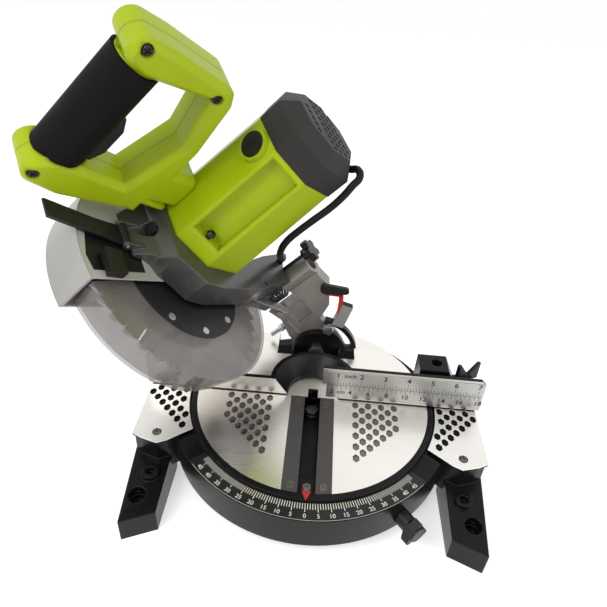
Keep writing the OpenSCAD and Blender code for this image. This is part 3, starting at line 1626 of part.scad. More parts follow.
// Handle loop, drawn in plan: u to the right, v forward of the grip's axis
module at_grip() {
  translate([0, -grip_reach, grip_z]) children();
}
module puck(u, v, r, z0, z1, c) {
  translate([u, -v, 0]) {
    rod_z(r - c, z0, z1, few);
    rod_z(r, z0 + max(0, -sign(z0)) * c, z1 - max(0, sign(z1)) * c, few);
  }
}
function hx(s) = loop_x0 + handle_w * s;
function hv(s) = loop_v0 - handle_l * s;
module loop_half(z0, z1) {
  for (run = loop_shares)
    hull() for (p = run)
      puck(hx(p[0]), hv(p[1]), handle_w * p[2], z0, z1, handle_c);
}
module loop_shell(z0, z1) {
  difference() {
    union() {
      difference() {
        loop_half(z0, z1);
        at_bar() rod_x(grip_d / 2, 0, hx(bar_b_share) - hx(bar_a_share));
      }
      at_bar() intersection() {
        rod_x(grip_core_r, -over, hx(bar_b_share) - hx(bar_a_share) + over);
        translate([-over, -grip_d, z0]) cube([handle_w, 2 * grip_d, z1 - z0]);
      }
    }
    at_bar() translate([switch_x0 - gap, -switch_back, -switch_h / 2])
      cube([switch_l + 2 * gap, 2 * switch_back, switch_h]);
    trigger_room();
  }
}
module at_bar() {
  translate([hx(bar_a_share), 0, 0]) children();
}
module trigger_room() {
  translate([0, 0, -trigger_t / 2 - gap]) linear_extrude(trigger_t + 2 * gap)
    polygon([[trig_x0 - over, -trig_front], [trig_x1 + over, -trig_front],
      [trig_x1 + over, grip_d], [trig_x0 - over, grip_d]]);
}
module head_bodies() {
  translate([0, grip_reach, -grip_z]) {
    at_motor() octagon(motor_a, a_end, arm_x1, motor_x1 + over);
    side(arm_x0 - over, arm_x1) arm_outline();
  }
}
module handle_lower_shell() {
  color([0.63, 0.72, 0.06]) at_head() at_grip() difference() {
    loop_shell(-handle_t / 2, 0);
    head_bodies();
    handle_holes() {
      rod_z(screw_d / 2 + play, -handle_t, over, few);
      rod_z(screw_head_d / 2 + gap, -handle_t, hscrew_z, few);
    }
  }
}
module handle_upper_shell() {
  color([0.63, 0.72, 0.06]) at_head() at_grip() difference() {
    loop_shell(0, handle_t / 2);
    head_bodies();
    handle_holes() rod_z(screw_d / 2, -over, hscrew_l + hscrew_z, few);
  }
}
module handle_holes() {
  for (p = hscrew_shares)
    translate([hx(p[0]), -hv(p[1]), 0]) children();
}
module handle_screws() {
  color([0.3, 0.3, 0.31]) at_head() at_grip() handle_holes()
    translate([0, 0, hscrew_z]) mirror([0, 0, 1]) screw(hscrew_l);
}
module grip_cover() {
  color([0.06, 0.06, 0.062]) at_head() at_grip() difference() {
    at_bar() difference() {
      rod_x(grip_d / 2, gap, hx(bar_b_share) - hx(bar_a_share) - gap);
      rod_x(grip_core_r, 0, handle_w);
    }
    trigger_room();
  }
}
module switch_body() {
  color([0.12, 0.12, 0.12]) at_head() at_grip() at_bar()
    translate([switch_x0, -switch_back + gap, -switch_h / 2 + eps])
      cube([switch_l, 2 * switch_back - 2 * gap, switch_h - 2 * eps]);
}
module trigger() {
  color([0.05, 0.05, 0.05]) at_head() at_grip() translate([0, 0, -trigger_t / 2])
    linear_extrude(trigger_t)
      polygon([[trig_x0, -trig_front + trigger_travel],
        [trig_x1 - gap, -trig_front + trigger_travel],
        [trig_x1 - gap, grip_d / 2 + trigger_low],
        [trig_x1 - trigger_round, grip_d / 2 + trigger_out],
        [trig_x0 + trigger_round, grip_d / 2 + trigger_out],
        [trig_x0, grip_d / 2 + trigger_low]]);
}
module spindle_lock_button() {
  color([0.05, 0.05, 0.05]) at_head() translate([button_x, 0, button_z]) {
    rod_y(button_r, button_y - button_l, button_y + over, few);
    rod_y(button_pin_r, button_y, button_y + button_l + button_pin_l - button_travel - over, few);
  }
}
module release_lever() {
  color([0.05, 0.05, 0.05]) at_head() difference() {
    union() {
      translate([hinge_x, hinge_y, 0]) rod_z(hinge_lug_r, lug_zs[0] + lug_t + gap,
        lug_zs[1] - gap, few);
      hull() {
        translate([hinge_x - hinge_lug_r + plate_w / 2, hinge_y, 0])
          rod_z(plate_w / 2, lug_zs[0] + lug_t + gap, lug_zs[1] - gap, few);
        translate([lever_mid_x, lever_mid_y, 0]) rod_z(plate_w / 2, lever_mid_z,
          lever_mid_z + lever_h, few);
      }
      hull() {
        translate([lever_mid_x, lever_mid_y, 0]) rod_z(plate_w / 2, lever_mid_z,
          lever_mid_z + lever_h, few);
        translate([lever_tip_x, lever_tip_y, 0]) rod_z(plate_w / 2, lever_tip_z,
          lever_tip_z + lever_h, few);
      }
    }
    translate([hinge_x, hinge_y, 0]) rod_z(lever_pin_r + play, 0, 2 * arm_h, few);
  }
}
module lever_hinge_pin() {
  color([0.75, 0.75, 0.76]) at_head() translate([hinge_x, hinge_y, 0]) {
    rod_z(lever_pin_r, lug_zs[0] - over, lug_zs[1] + lug_t, few);
    rod_z(lever_pin_r + over, lug_zs[1] + lug_t, lug_zs[1] + lug_t + over, few);
  }
}
module housing_screws() {
  color([0.25, 0.25, 0.26]) at_head() at_motor() rotate([45, 0, 0])
    translate([arm_x1 + channel_from + screw_head_h + over, -motor_a + channel_screw_in, 0])
      rotate([0, 90, 0]) screw(channel_from + screw_head_h);
}
// A point of the lead's smooth route, t from 0 to the number of runs
function lead_at(t) = let (i = min(floor(t), len(lead_pts) - 2), f = t - i,
  p = lead_pts[max(0, i - 1)], q = lead_pts[i], r = lead_pts[i + 1],
  s = lead_pts[min(len(lead_pts) - 1, i + 2)])
    ((2 * q) + (r - p) * f + (2 * p - 5 * q + 4 * r - s) * f * f +
      (3 * q - p - 3 * r + s) * f * f * f) / 2;
function unit(v) = v / norm(v);
module motor_lead() {
  count = (len(lead_pts) - 1) * lead_rings;
  mids = [for (i = [0:count]) lead_at(i / lead_rings)];
  rings = [for (i = [0:count])
    let (d = unit(mids[min(count, i + 1)] - mids[max(0, i - 1)]), a = unit(cross(d, [0, 0, 1])),
      b = cross(a, d))
      each [for (s = [0:lead_fn - 1])
        mids[i] + lead_r * (cos(360 * s / lead_fn) * a + sin(360 * s / lead_fn) * b)]];
  walls = [for (i = [0:count - 1], s = [0:lead_fn - 1])
    let (a = i * lead_fn + s, b = i * lead_fn + (s + 1) % lead_fn)
      each [[a, b + lead_fn, b], [a, a + lead_fn, b + lead_fn]]];
  last = count * lead_fn;
  ends = [for (s = [1:lead_fn - 2]) each [[0, s, s + 1], [last, last + s + 1, last + s]]];
  color([0.1, 0.1, 0.1]) at_head() polyhedron(rings, concat(walls, ends));
}

base_casting();
left_wing_plate();
right_wing_plate();
wing_plate_screws();
mitre_scale();
fence();
fence_ruler();
fence_bolts();
mitre_pivot_bolt();
mitre_lock_knob();
clamp_lock_screw();
turntable();
left_table_plate();
right_table_plate();
left_insert();
right_insert();
insert_screws();
mitre_pointer();
bevel_scale();
bevel_pivot_bolt();
tilt_bracket();
bevel_pointer();
bevel_lock_bolt();
bevel_lock_lever();
bevel_stop_screw();
chop_pivot_pin();
chop_lock_pin();
return_spring();
guard_link();
arm_casting();
upper_guard();
motor_housing();
motor_end_cap();
brush_caps();
brushes();
stator();
bearings();
armature();
cooling_fan();
handle_lower_shell();
handle_upper_shell();
grip_cover();
handle_screws();
housing_screws();
switch_body();
motor_lead();
lever_hinge_pin();
trigger();
spindle_lock_button();
release_lever();
saw_blade();
arbor_shaft();
inner_flange();
outer_flange();
arbor_bolt();
arbor_gear();
lower_guard();
guard_hub_plate();
guard_rivets();
guard_latch();
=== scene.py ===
"""Looks of the bevel mitre saw: materials, printed scales, floor, light and camera."""
import math

import bpy
from mathutils import Matrix, Vector


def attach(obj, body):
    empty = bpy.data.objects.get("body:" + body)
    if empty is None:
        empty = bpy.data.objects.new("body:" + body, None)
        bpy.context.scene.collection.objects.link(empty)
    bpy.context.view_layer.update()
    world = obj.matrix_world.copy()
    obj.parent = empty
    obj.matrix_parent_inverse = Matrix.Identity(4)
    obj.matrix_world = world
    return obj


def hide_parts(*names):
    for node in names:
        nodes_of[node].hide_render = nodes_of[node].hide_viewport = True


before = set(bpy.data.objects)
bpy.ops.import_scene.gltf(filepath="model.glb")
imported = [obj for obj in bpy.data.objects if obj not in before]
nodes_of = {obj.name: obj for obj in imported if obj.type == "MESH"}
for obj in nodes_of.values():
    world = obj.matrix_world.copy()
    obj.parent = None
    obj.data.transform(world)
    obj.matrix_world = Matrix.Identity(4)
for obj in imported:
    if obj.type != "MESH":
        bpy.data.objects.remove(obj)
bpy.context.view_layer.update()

MM = 0.001

# Frames of the model, as the part's source has them
TABLE = Matrix.Translation((0, 21 * MM, 63.5 * MM))
BEVEL = TABLE @ Matrix.Rotation(math.radians(-45), 4, "Y")
HINGE = Matrix.Translation((0, 95 * MM, 93 * MM))
HEAD = BEVEL @ HINGE @ Matrix.Rotation(math.radians(-50), 4, "X") @ HINGE.inverted()
ARBOR = Vector((0, -51.2 * MM, 85.2 * MM))

# Sunk field of the upper guard, whose floor is painted near black as shade and whose rim is
# painted darker as shade: its two ends along the arbor, its radius and that of the rim
FIELD_X0 = 11.3 * MM
FIELD_X1 = 14.15 * MM
FIELD_R = 113 * MM
RIM_R = 114.5 * MM

# Machined front of the fence: just behind its plane, above the table
FENCE_FACE_Y = 0.4 * MM
FENCE_FACE_Z = 1.2 * MM

# Prints lie this far in front of their ground and are this thick
TICK_LIFT = 0.08 * MM
PRINT_T = 0.06 * MM

# Printed numbers are made bolder by this share of their size
BOLD_SHARE = 0.012

# Mitre scale: height, radii of its marks and numbers, half width of a mark, size of a number
SCALE_Z = -4.4 * MM
MARK_R0 = 133.8 * MM
MARK_LONG_R = 142.8 * MM
MARK_SHORT_R = 140 * MM
MARK_HALF = 0.36 * MM
NUMBER_R = 147 * MM
NUMBER_SIZE = 6 * MM
LINE_R0 = 151.2 * MM
LINE_R1 = 151.5 * MM
LINE_FROM = -138
LINE_TURN = 96
LINE_STEPS = 90

# Ruler: plane of its face, height of its middle line, lengths of its marks
RULER_Y = -0.8 * MM
RULER_Z = 22 * MM
INCH = 25.4 * MM
INCH_MARK = 8.8 * MM
HALF_INCH_MARK = 6.2 * MM
EIGHTH_MARK = 4.2 * MM
CM_MARK = 6.2 * MM
HALF_CM_MARK = 4 * MM
TICK_HALF = 0.22 * MM
MIDDLE_X = 98 * MM
MIDDLE_HALF_L = 83.5 * MM
MIDDLE_HALF_T = 0.2 * MM

# Ruler: rows of its numbers and words, and their sizes
INCH_ROW = RULER_Z + 13.8 * MM
CM_ROW = RULER_Z - 10.1 * MM
INCH_SIZE = 9.2 * MM
CM_SIZE = 8.4 * MM
INCH_WORD_X = 38.5 * MM
INCH_WORD_SIZE = 8 * MM
CM_WORD_X = 30 * MM
CM_WORD_SIZE = 7.4 * MM

# The lead's radius and its way from the end cap under the motor to the arm,
# in millimetres of the lowered head's frame
LEAD_R = 3.4 * MM
LEAD_WAY = (
    (186, -8, 99), (191, -7.5, 92), (197, -8.5, 86), (196, -12, 76),
    (188, -16, 71.5), (176, -15, 69.5), (160, -14.5, 68.5), (142, -17, 67.6),
    (124, -17, 68), (108, -14, 69), (92, -3, 71), (78, 20, 78),
    (66, 46, 92), (57, 67, 105), (50, 76, 108), (40, 76, 108),
)

# Camera, solved from the ruler and the mitre scale
CAMERA_AT = Vector((-7.66, -426.19, 503.03)) * MM
YAW, PITCH, ROLL = (math.radians(a) for a in (-1.3144, 35.0457, 4.1310))
LENS = 32.887
SENSOR = 36
NEAR = 0.01

# Lamps: name, place, point aimed at, side and power
LAMPS = (
    ("key", (-0.8, -0.9, 1.5), (0, 0, 0.15), 1.0, 16),
    ("fill", (1.2, -0.6, 0.9), (0, 0, 0.15), 1.2, 7),
)
FLOOR_HALF = 3.0


def add_camera():
    """The camera of the photograph."""
    ahead = Vector((
        math.sin(YAW) * math.cos(PITCH),
        math.cos(YAW) * math.cos(PITCH),
        -math.sin(PITCH),
    ))
    level = Vector((math.cos(YAW), -math.sin(YAW), 0))
    over = level.cross(ahead)
    right = level * math.cos(ROLL) + over * math.sin(ROLL)
    up = over * math.cos(ROLL) - level * math.sin(ROLL)
    turn = Matrix((right, up, -ahead)).transposed().to_4x4()
    data = bpy.data.cameras.new("camera")
    data.lens = LENS
    data.sensor_width = SENSOR
    data.clip_start = NEAR
    camera = bpy.data.objects.new("camera", data)
    camera.matrix_world = Matrix.Translation(CAMERA_AT) @ turn
    bpy.context.scene.collection.objects.link(camera)
    bpy.context.scene.camera = camera


def node(tree, kind, **values):
    """A shader node with its plain properties set."""
    made = tree.nodes.new(kind)
    for key, value in values.items():
        setattr(made, key, value)
    return made


def place(tree, frame_matrix=None, stretch=(1, 1, 1)):
    """Coordinates in metres in one of the model's frames."""
    where = node(tree, "ShaderNodeTexCoord").outputs["Object"]
    mapping = node(tree, "ShaderNodeMapping")
    back = (frame_matrix or Matrix.Identity(4)).inverted()
    mapping.inputs["Location"].default_value = back.to_translation()
    mapping.inputs["Rotation"].default_value = back.to_euler()
    tree.links.new(where, mapping.inputs["Vector"])
    scaled = node(tree, "ShaderNodeVectorMath", operation="MULTIPLY")
    scaled.inputs[1].default_value = stretch
    tree.links.new(mapping.outputs[0], scaled.inputs[0])
    return scaled.outputs[0]


def noise(tree, where, scale, detail=4.0, rough=0.5):
    """Cloudy values from 0 to 1 at a scale per metre."""
    made = node(tree, "ShaderNodeTexNoise")
    made.inputs["Scale"].default_value = scale
    made.inputs["Detail"].default_value = detail
    made.inputs["Roughness"].default_value = rough
    tree.links.new(where, made.inputs["Vector"])
    return made.outputs["Fac"]


def span(tree, value, low, high, start=0.0, end=1.0):
    """value, spread from start..end over low..high."""
    made = node(tree, "ShaderNodeMapRange")
    made.inputs["From Min"].default_value = start
    made.inputs["From Max"].default_value = end
    made.inputs["To Min"].default_value = low
    made.inputs["To Max"].default_value = high
    tree.links.new(value, made.inputs["Value"])
    return made.outputs[0]


def blend_colour(tree, fac, first, second):
    """A mix of two colours or colour sockets by a value socket."""
    made = node(tree, "ShaderNodeMix", data_type="RGBA")
    for value, socket in ((first, made.inputs[6]), (second, made.inputs[7])):
        if isinstance(value, tuple):
            socket.default_value = (*value, 1)
        else:
            tree.links.new(value, socket)
    tree.links.new(fac, made.inputs[0])
    return made.outputs[2]


CLOUD_SCALE = 22
RELIEF_DEPTH = 0.12 * MM


def material(name, colour, rough=0.4, metallic=0.0, vary=0.12, grain=900, bump=0.02,
             where=None, stretch=(1, 1, 1), wear=0.25, edge=0.6 * MM, extra=None, shine=0.5):
    """Paint, plastic or metal with mottled colour, uneven gloss, fine grain and paler worn edges.

    vary is the share by which the colour wanders, grain the scale of the fine grain, edge the
    width of a worn edge and wear how sharp it has to be; extra changes the colour at the end.
    """
    made = bpy.data.materials.new(name)
    made.use_nodes = True
    tree = made.node_tree
    shader = tree.nodes["Principled BSDF"]
    spot = place(tree, where, stretch)
    cloud = noise(tree, spot, CLOUD_SCALE, 5)
    dust = noise(tree, spot, grain, 3, 0.6)
    dark = tuple(c * (1 - vary) for c in colour)
    light = tuple(min(1, c * (1 + vary)) for c in colour)
    base = blend_colour(tree, span(tree, cloud, 0, 1, 0.3, 0.7), dark, light)
    bevel = node(tree, "ShaderNodeBevel", samples=4)
    bevel.inputs["Radius"].default_value = edge
    sharp = node(tree, "ShaderNodeVectorMath", operation="DISTANCE")
    geometry = node(tree, "ShaderNodeNewGeometry")
    tree.links.new(bevel.outputs[0], sharp.inputs[0])
    tree.links.new(geometry.outputs["Normal"], sharp.inputs[1])
    worn = node(tree, "ShaderNodeMath", operation="MULTIPLY")
    tree.links.new(span(tree, sharp.outputs["Value"], 0, wear, 0.3, 0.9), worn.inputs[0])
    tree.links.new(span(tree, dust, 0.3, 1, 0.3, 0.7), worn.inputs[1])
    pale = tuple(min(1, c * 1.6 + 0.04) for c in colour)
    base = blend_colour(tree, worn.outputs[0], base, pale)
    if extra:
        base = extra(tree, base)
    tree.links.new(base, shader.inputs["Base Color"])
    if not shader.inputs["Roughness"].links:
        gloss = span(tree, cloud, rough * 0.82, min(1, rough * 1.2), 0.3, 0.7)
        tree.links.new(gloss, shader.inputs["Roughness"])
    if not shader.inputs["Metallic"].links:
        shader.inputs["Metallic"].default_value = metallic
    shader.inputs["Specular IOR Level"].default_value = shine
    relief = node(tree, "ShaderNodeBump")
    relief.inputs["Strength"].default_value = min(1, bump * 10)
    relief.inputs["Distance"].default_value = RELIEF_DEPTH
    tree.links.new(dust, relief.inputs["Height"])
    tree.links.new(bevel.outputs[0], relief.inputs["Normal"])
    tree.links.new(relief.outputs[0], shader.inputs["Normal"])
    return made


def axis_parts(tree, where):
    """The X, Y and Z of a place."""
    split = node(tree, "ShaderNodeSeparateXYZ")
    tree.links.new(where, split.inputs[0])
    return split.outputs


def both_true(tree, *values):
    """The product of several values from 0 to 1."""
    made = values[0]
    for value in values[1:]:
        product = node(tree, "ShaderNodeMath", operation="MULTIPLY")
        tree.links.new(made, product.inputs[0])
        tree.links.new(value, product.inputs[1])
        made = product.outputs[0]
    return made


def step(tree, value, edge, width=0.1 * MM, above=True):
    """1 where value is above (or below) an edge."""
    ends = (0, 1) if above else (1, 0)
    return span(tree, value, *ends, edge - width, edge + width)


def bright_front(tree, base):
    """The machined front face of the fence."""
    parts = axis_parts(tree, place(tree, TABLE))
    shader = tree.nodes["Principled BSDF"]
    in_front = step(tree, parts["Y"], FENCE_FACE_Y, above=False)
    face = both_true(tree, in_front, step(tree, parts["Z"], FENCE_FACE_Z))
    tree.links.new(face, shader.inputs["Metallic"])
    tree.links.new(span(tree, face, 0.3, 0.36), shader.inputs["Roughness"])
    return blend_colour(tree, face, base, (0.6, 0.575, 0.54))


def sunk_field(tree, base):
    """Painted shade on the upper guard: near black on the floor of its sunk field, darker grey on
    its rim.
    """
    parts = axis_parts(tree, place(tree, HEAD))
    spread = node(tree, "ShaderNodeVectorMath", operation="DISTANCE")
    flat = node(tree, "ShaderNodeCombineXYZ")
    tree.links.new(parts["Y"], flat.inputs["Y"])
    tree.links.new(parts["Z"], flat.inputs["Z"])
    spread.inputs[1].default_value = ARBOR
    tree.links.new(flat.outputs[0], spread.inputs[0])
    # Painted shade: the floor of the sunk field, which lies in shadow
    field = both_true(
        tree,
        step(tree, parts["X"], FIELD_X0),
        step(tree, parts["X"], FIELD_X1, above=False),
        step(tree, spread.outputs["Value"], FIELD_R, above=False),
    )
    # Painted shade: beyond this radius the guard's rim is blended partly towards dark grey
    rim = step(tree, spread.outputs["Value"], RIM_R)
    base = blend_colour(tree, span(tree, rim, 0, 0.35), base, (0.2, 0.2, 0.2))
    # The sunk field's floor is painted near black as shade
    return blend_colour(tree, field, base, (0.012, 0.012, 0.012))


def dark_below(level, colour=(0.012, 0.012, 0.012)):
    """Paints what lies below a height of the table's frame dark, as painted shade in the punched
    dots.
    """
    def paint(tree, base):
        split = node(tree, "ShaderNodeSeparateXYZ")
        tree.links.new(place(tree, TABLE), split.inputs[0])
        # Painted shade: the recessed dots below the level are coloured dark
        below = span(tree, split.outputs["Z"], 1, 0, level, level + 0.2 * MM)
        return blend_colour(tree, below, base, colour)
    return paint


def smoked():
    """Clear, slightly smoked plastic of the lower guard."""
    made = bpy.data.materials.new("smoked_guard")
    made.use_nodes = True
    tree = made.node_tree
    shader = tree.nodes["Principled BSDF"]
    spot = place(tree, HEAD)
    cloud = noise(tree, spot, 30, 4)
    edge = node(tree, "ShaderNodeLayerWeight")
    edge.inputs["Blend"].default_value = 0.35
    mottle = span(tree, cloud, 0, 1, 0.3, 0.7)
    base = blend_colour(tree, mottle, (0.2, 0.175, 0.17), (0.32, 0.285, 0.275))
    tree.links.new(base, shader.inputs["Base Color"])
    tree.links.new(span(tree, cloud, 0.07, 0.16), shader.inputs["Roughness"])
    tree.links.new(span(tree, edge.outputs["Facing"], 0.26, 0.8), shader.inputs["Alpha"])
    return made


RIB_SCALE = 95
RIB_DEPTH = 0.2 * MM


def ribbed(name):
    """Black rubber with fine ribs round the grip."""
    made = material(name, (0.004, 0.004, 0.0045), 0.6, vary=0.3, grain=1500, bump=0.04, shine=0.1)
    tree = made.node_tree
    wave = node(tree, "ShaderNodeTexWave", wave_type="BANDS", bands_direction="X")
    wave.inputs["Scale"].default_value = RIB_SCALE
    tree.links.new(place(tree, HEAD), wave.inputs["Vector"])
    relief = node(tree, "ShaderNodeBump")
    relief.inputs["Strength"].default_value = 0.4
    relief.inputs["Distance"].default_value = RIB_DEPTH
    shader = tree.nodes["Principled BSDF"]
    before = shader.inputs["Normal"].links[0].from_socket
    tree.links.new(wave.outputs["Fac"], relief.inputs["Height"])
    tree.links.new(before, relief.inputs["Normal"])
    tree.links.new(relief.outputs[0], shader.inputs["Normal"])
    return made


# Brushed metal is drawn out along X
BRUSHED = (0.04, 1, 1)
ROLLED = (0.05, 1, 1)

# What material() makes: colour and gloss, then what differs from its plain values
paints = {
    "gloss_black": dict(
        colour=(0.006, 0.006, 0.0065), rough=0.24, vary=0.25, grain=500, bump=0.03,
        shine=0.18, edge=2 * MM,
    ),
    "fence": dict(
        colour=(0.006, 0.006, 0.0065), rough=0.24, vary=0.2, grain=500,
        shine=0.2, edge=1.2 * MM, where=TABLE, stretch=ROLLED, extra=bright_front,
    ),
    "plate": dict(
        colour=(0.93, 0.9, 0.85), rough=0.28, metallic=1.0, vary=0.05, grain=1800, bump=0.006,
        stretch=BRUSHED, where=TABLE, edge=0.2 * MM,
        # The punched dots get a pinkish dark grey as painted shade
        extra=dark_below(-0.4 * MM, (0.2, 0.175, 0.165)),
    ),
    "wing": dict(
        colour=(0.9, 0.88, 0.84), rough=0.3, metallic=1.0, vary=0.05, grain=1800, bump=0.006,
        # The punched dots get near black as painted shade
        stretch=BRUSHED, where=TABLE, extra=dark_below(-0.9 * MM),
    ),
    "insert": dict(colour=(0.06, 0.057, 0.055), rough=0.4, grain=1300, bump=0.05, shine=0.4),
    "scale_band": dict(colour=(0.012, 0.012, 0.013), rough=0.32, vary=0.2, shine=0.35),
    "print": dict(colour=(0.86, 0.82, 0.7), rough=0.6, vary=0.06),
    "ruler": dict(
        colour=(0.46, 0.455, 0.44), rough=0.38, metallic=1.0, vary=0.08,
        stretch=ROLLED, where=TABLE,
    ),
    "ink": dict(colour=(0.012, 0.012, 0.013), rough=0.55),
    "pale_scale": dict(colour=(0.3, 0.3, 0.29), rough=0.45, vary=0.08),
    "zinc": dict(colour=(0.56, 0.56, 0.57), rough=0.3, metallic=1.0, grain=1600),
    "dull_steel": dict(colour=(0.16, 0.15, 0.14), metallic=0.9, vary=0.2, grain=1600),
    "black_steel": dict(colour=(0.02, 0.02, 0.022), rough=0.38, metallic=0.5, vary=0.2),
    "black_plastic": dict(
        colour=(0.01, 0.01, 0.011), rough=0.36, vary=0.2, grain=1800, bump=0.05, shine=0.35,
    ),
    "red": dict(colour=(0.55, 0.02, 0.012)),
    "arm_paint": dict(
        colour=(0.11, 0.108, 0.105), rough=0.3, metallic=0.65, vary=0.14, grain=700, bump=0.06,
        edge=1.5 * MM, wear=0.2,
    ),
    "cast_grey": dict(
        colour=(0.34, 0.315, 0.29), rough=0.42, metallic=0.5, vary=0.15, grain=700, bump=0.08,
        edge=1.5 * MM,
    ),
    "guard_paint": dict(
        colour=(0.5, 0.49, 0.455), rough=0.34, metallic=0.3, vary=0.07, grain=800, bump=0.04,
        edge=1.5 * MM, wear=0.12, extra=sunk_field,
    ),
    "lime": dict(
        colour=(0.4, 0.505, 0.004), rough=0.34, vary=0.06, grain=1500, bump=0.03,
        edge=4 * MM, wear=0.3, shine=0.26,
    ),
    "cap": dict(
        colour=(0.026, 0.024, 0.023), rough=0.5, vary=0.15, grain=1600, bump=0.06,
        edge=1 * MM, shine=0.22,
    ),
    "lead": dict(
        colour=(0.006, 0.006, 0.0065), rough=0.42, vary=0.2, grain=1500, bump=0.03, shine=0.16,
    ),
    "blade": dict(
        colour=(0.62, 0.62, 0.63), rough=0.24, metallic=1.0, vary=0.08, grain=400,
        stretch=(1, 0.2, 0.2), where=HEAD,
    ),
    "iron": dict(colour=(0.12, 0.1, 0.09), rough=0.5, metallic=0.7, vary=0.3),
}

looks = {name: material(name, **values) for name, values in paints.items()}
looks["grip"] = ribbed("grip")
looks["smoked"] = smoked()

# The nodes that wear each look
look_of = {
    "gloss_black": "base_casting turntable",
    "cast_grey": "tilt_bracket",
    "fence": "fence",
    "plate": "left_table_plate right_table_plate",
    "wing": "left_wing_plate right_wing_plate",
    "ruler": "fence_ruler",
    "insert": "left_insert right_insert",
    "scale_band": "mitre_scale",
    "pale_scale": "bevel_scale",
    "zinc": "bevel_pivot_bolt bevel_lock_bolt bevel_stop_screw chop_pivot_pin guard_link"
            " lever_hinge_pin bearings arbor_shaft inner_flange outer_flange guard_rivets",
    "dull_steel": "wing_plate_screws fence_bolts mitre_pivot_bolt insert_screws",
    "black_steel": "return_spring arbor_bolt arbor_gear handle_screws housing_screws",
    "black_plastic": "mitre_lock_knob clamp_lock_screw bevel_lock_lever chop_lock_pin brush_caps"
                     " trigger spindle_lock_button release_lever guard_latch guard_hub_plate"
                     " switch_body cooling_fan",
    "red": "mitre_pointer bevel_pointer",
    "arm_paint": "arm_casting",
    "guard_paint": "upper_guard",
    "lime": "motor_housing handle_lower_shell handle_upper_shell",
    "cap": "motor_end_cap",
    "grip": "grip_cover",
    "lead": "motor_lead",
    "smoked": "lower_guard",
    "blade": "saw_blade",
    "iron": "stator armature brushes",
}


def paint_nodes():
    """Gives every solid its look."""
    for look, names in look_of.items():
        for name in names.split():
            slots = nodes_of[name].data.materials
            slots.clear()
            slots.append(looks[look])


def mesh_piece(name, verts, faces, look, body, where=TABLE):
    """A piece of flat faces, drawn in one of the model's frames."""
    data = bpy.data.meshes.new(name)
    data.from_pydata([where @ Vector(v) for v in verts], [], faces)
    data.materials.append(looks[look])
    piece = bpy.data.objects.new(name, data)
    bpy.context.scene.collection.objects.link(piece)
    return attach(piece, body)


def text_piece(name, words, size, turn, look, body, where=TABLE):
    """Flat printed numbers; turn places them from their own plane into a frame."""
    data = bpy.data.curves.new(name, "FONT")
    data.body = words
    data.size = size
    data.extrude = PRINT_T
    data.offset = size * BOLD_SHARE
    data.align_x = "CENTER"
    data.align_y = "CENTER"
    data.materials.append(looks[look])
    piece = bpy.data.objects.new(name, data)
    piece.matrix_world = where @ turn
    bpy.context.scene.collection.objects.link(piece)
    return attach(piece, body)


def quad(verts, faces, corners):
    """Adds one face with its own corners."""
    start = len(verts)
    verts.extend(corners)
    faces.append(tuple(range(start, start + len(corners))))


def mitre_print():
    """Degree ticks, numbers and the outer line of the mitre scale."""
    verts, faces = [], []
    print_z = SCALE_Z + TICK_LIFT
    lift = Vector((0, 0, print_z))
    for degree in range(-47, 48):
        angle = math.radians(-90 + degree)
        along = Vector((math.cos(angle), math.sin(angle), 0))
        aside = Vector((-along.y, along.x, 0)) * MARK_HALF
        inner = along * MARK_R0
        outer = along * (MARK_LONG_R if degree % 5 == 0 else MARK_SHORT_R)
        corners = inner - aside, outer - aside, outer + aside, inner + aside
        quad(verts, faces, [corner + lift for corner in corners])
    for i in range(LINE_STEPS):
        a, b = (math.radians(LINE_FROM + LINE_TURN * k / LINE_STEPS) for k in (i, i + 1))
        corners = (LINE_R0, a), (LINE_R1, a), (LINE_R1, b), (LINE_R0, b)
        quad(verts, faces, [(r * math.cos(t), r * math.sin(t), print_z) for r, t in corners])
    mesh_piece("mitre_scale_print", verts, faces, "print", "stand")
    for degree in range(-45, 46, 5):
        angle = math.radians(-90 + degree)
        at = NUMBER_R * math.cos(angle), NUMBER_R * math.sin(angle), print_z
        turn = Matrix.Translation(at) @ Matrix.Rotation(math.radians(degree), 4, "Z")
        number = str(abs(degree))
        side = "L" if degree < 0 else "R"
        text_piece(f"mitre_number_{number}{side}", number, NUMBER_SIZE, turn, "print", "stand")


def ruler_print():
    """Inch ticks and numbers above the ruler's middle, centimetres below."""
    verts, faces = [], []
    face_y = RULER_Y - TICK_LIFT
    upright = Matrix.Rotation(math.radians(90), 4, "X")

    def tick(x, z0, z1, half=TICK_HALF):
        corners = (x - half, z0), (x + half, z0), (x + half, z1), (x - half, z1)
        quad(verts, faces, [(across, face_y, up) for across, up in corners])

    def words(name, text, x, z, size):
        turn = Matrix.Translation((x, face_y, z)) @ upright
        text_piece(name, text, size, turn, "ink", "stand")

    for i in range(5, 57):
        rise = INCH_MARK if i % 8 == 0 else HALF_INCH_MARK if i % 4 == 0 else EIGHTH_MARK
        tick(INCH * i / 8, RULER_Z, RULER_Z + rise)
    for i in range(3, 37):
        drop = CM_MARK if i % 2 == 0 else HALF_CM_MARK
        tick(i * 5 * MM, RULER_Z - drop, RULER_Z)
    tick(MIDDLE_X, RULER_Z - MIDDLE_HALF_T, RULER_Z + MIDDLE_HALF_T, MIDDLE_HALF_L)
    mesh_piece("ruler_print", verts, faces, "ink", "stand")
    for inch in range(1, 8):
        words(f"ruler_inch_{inch}", str(inch), INCH * inch, INCH_ROW, INCH_SIZE)
    for centi in range(2, 19, 2):
        words(f"ruler_cm_{centi}", str(centi), 10 * MM * centi, CM_ROW, CM_SIZE)
    words("ruler_inch_word", "inch", INCH_WORD_X, INCH_ROW, INCH_WORD_SIZE)
    words("ruler_cm_word", "cm", CM_WORD_X, CM_ROW, CM_WORD_SIZE)


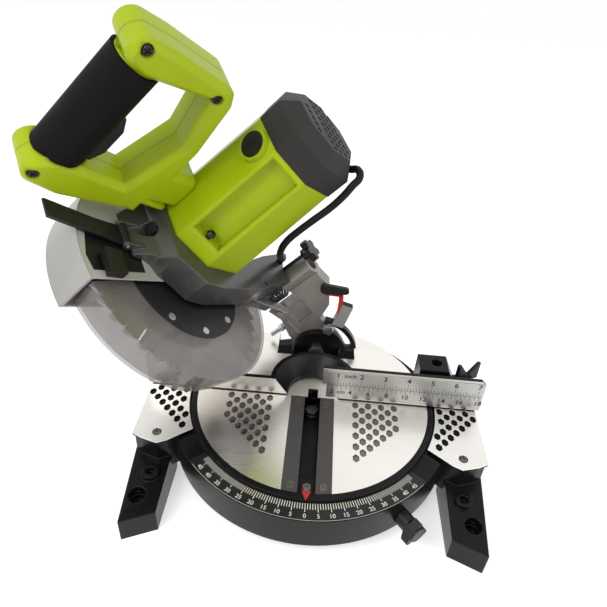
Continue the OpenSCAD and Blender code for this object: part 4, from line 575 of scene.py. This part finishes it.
def motor_lead():
    """Round lead that hangs in a bow at the cap and lies along the housing's underside."""
    data = bpy.data.curves.new("motor_lead_round", "CURVE")
    data.dimensions = "3D"
    data.bevel_depth = LEAD_R
    data.bevel_resolution = 5
    data.resolution_u = 8
    data.use_fill_caps = True
    way = data.splines.new("BEZIER")
    way.bezier_points.add(len(LEAD_WAY) - 1)
    for point, spot in zip(way.bezier_points, LEAD_WAY):
        point.co = HEAD @ (Vector(spot) * MM)
        point.handle_left_type = point.handle_right_type = "AUTO"
    data.materials.append(looks["lead"])
    piece = bpy.data.objects.new("motor_lead_round", data)
    bpy.context.scene.collection.objects.link(piece)
    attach(piece, "head")
    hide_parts("motor_lead")


def seen_directly(tree):
    """1 for what the camera sees, also in a reflection or through clear plastic."""
    path = node(tree, "ShaderNodeLightPath")
    shows = path.outputs["Is Camera Ray"]
    for ray in ("Is Transmission Ray", "Is Glossy Ray"):
        either = node(tree, "ShaderNodeMath", operation="MAXIMUM")
        tree.links.new(shows, either.inputs[0])
        tree.links.new(path.outputs[ray], either.inputs[1])
        shows = either.outputs[0]
    return shows


def add_stage():
    """A pale floor that keeps the saw's shadow, and a plain white surround."""
    data = bpy.data.meshes.new("floor")
    signs = (-1, -1), (1, -1), (1, 1), (-1, 1)
    corners = [(FLOOR_HALF * a, FLOOR_HALF * b, 0) for a, b in signs]
    data.from_pydata(corners, [], [(0, 1, 2, 3)])
    floor = bpy.data.objects.new("floor", data)
    floor_look = bpy.data.materials.new("floor")
    floor_look.use_nodes = True
    tree = floor_look.node_tree
    shader = tree.nodes["Principled BSDF"]
    shade = noise(tree, place(tree), 3)
    pale = blend_colour(tree, shade, (0.9, 0.9, 0.9), (0.94, 0.94, 0.94))
    tree.links.new(pale, shader.inputs["Base Color"])
    shader.inputs["Roughness"].default_value = 0.9
    shader.inputs["Emission Color"].default_value = (1, 1, 1, 1)
    tree.links.new(span(tree, seen_directly(tree), 0, 0.5), shader.inputs["Emission Strength"])
    data.materials.append(floor_look)
    bpy.context.scene.collection.objects.link(floor)

    world = bpy.data.worlds.new("studio")
    bpy.context.scene.world = world
    world.use_nodes = True
    tree = world.node_tree
    back = tree.nodes["Background"]
    tree.links.new(span(tree, seen_directly(tree), 0.5, 1.0), back.inputs["Strength"])
    back.inputs["Color"].default_value = (1, 1, 1, 1)


def add_lamp(name, at, aim, size, power):
    """A square lamp that points at a place."""
    data = bpy.data.lights.new(name, "AREA")
    data.shape = "SQUARE"
    data.size = size
    data.energy = power
    lamp = bpy.data.objects.new(name, data)
    turn = (Vector(aim) - Vector(at)).to_track_quat("-Z", "Y")
    lamp.matrix_world = Matrix.Translation(at) @ turn.to_matrix().to_4x4()
    bpy.context.scene.collection.objects.link(lamp)


add_camera()
paint_nodes()
mitre_print()
ruler_print()
motor_lead()
add_stage()
for lamp_values in LAMPS:
    add_lamp(*lamp_values)

bpy.context.scene.view_settings.view_transform = "Standard"
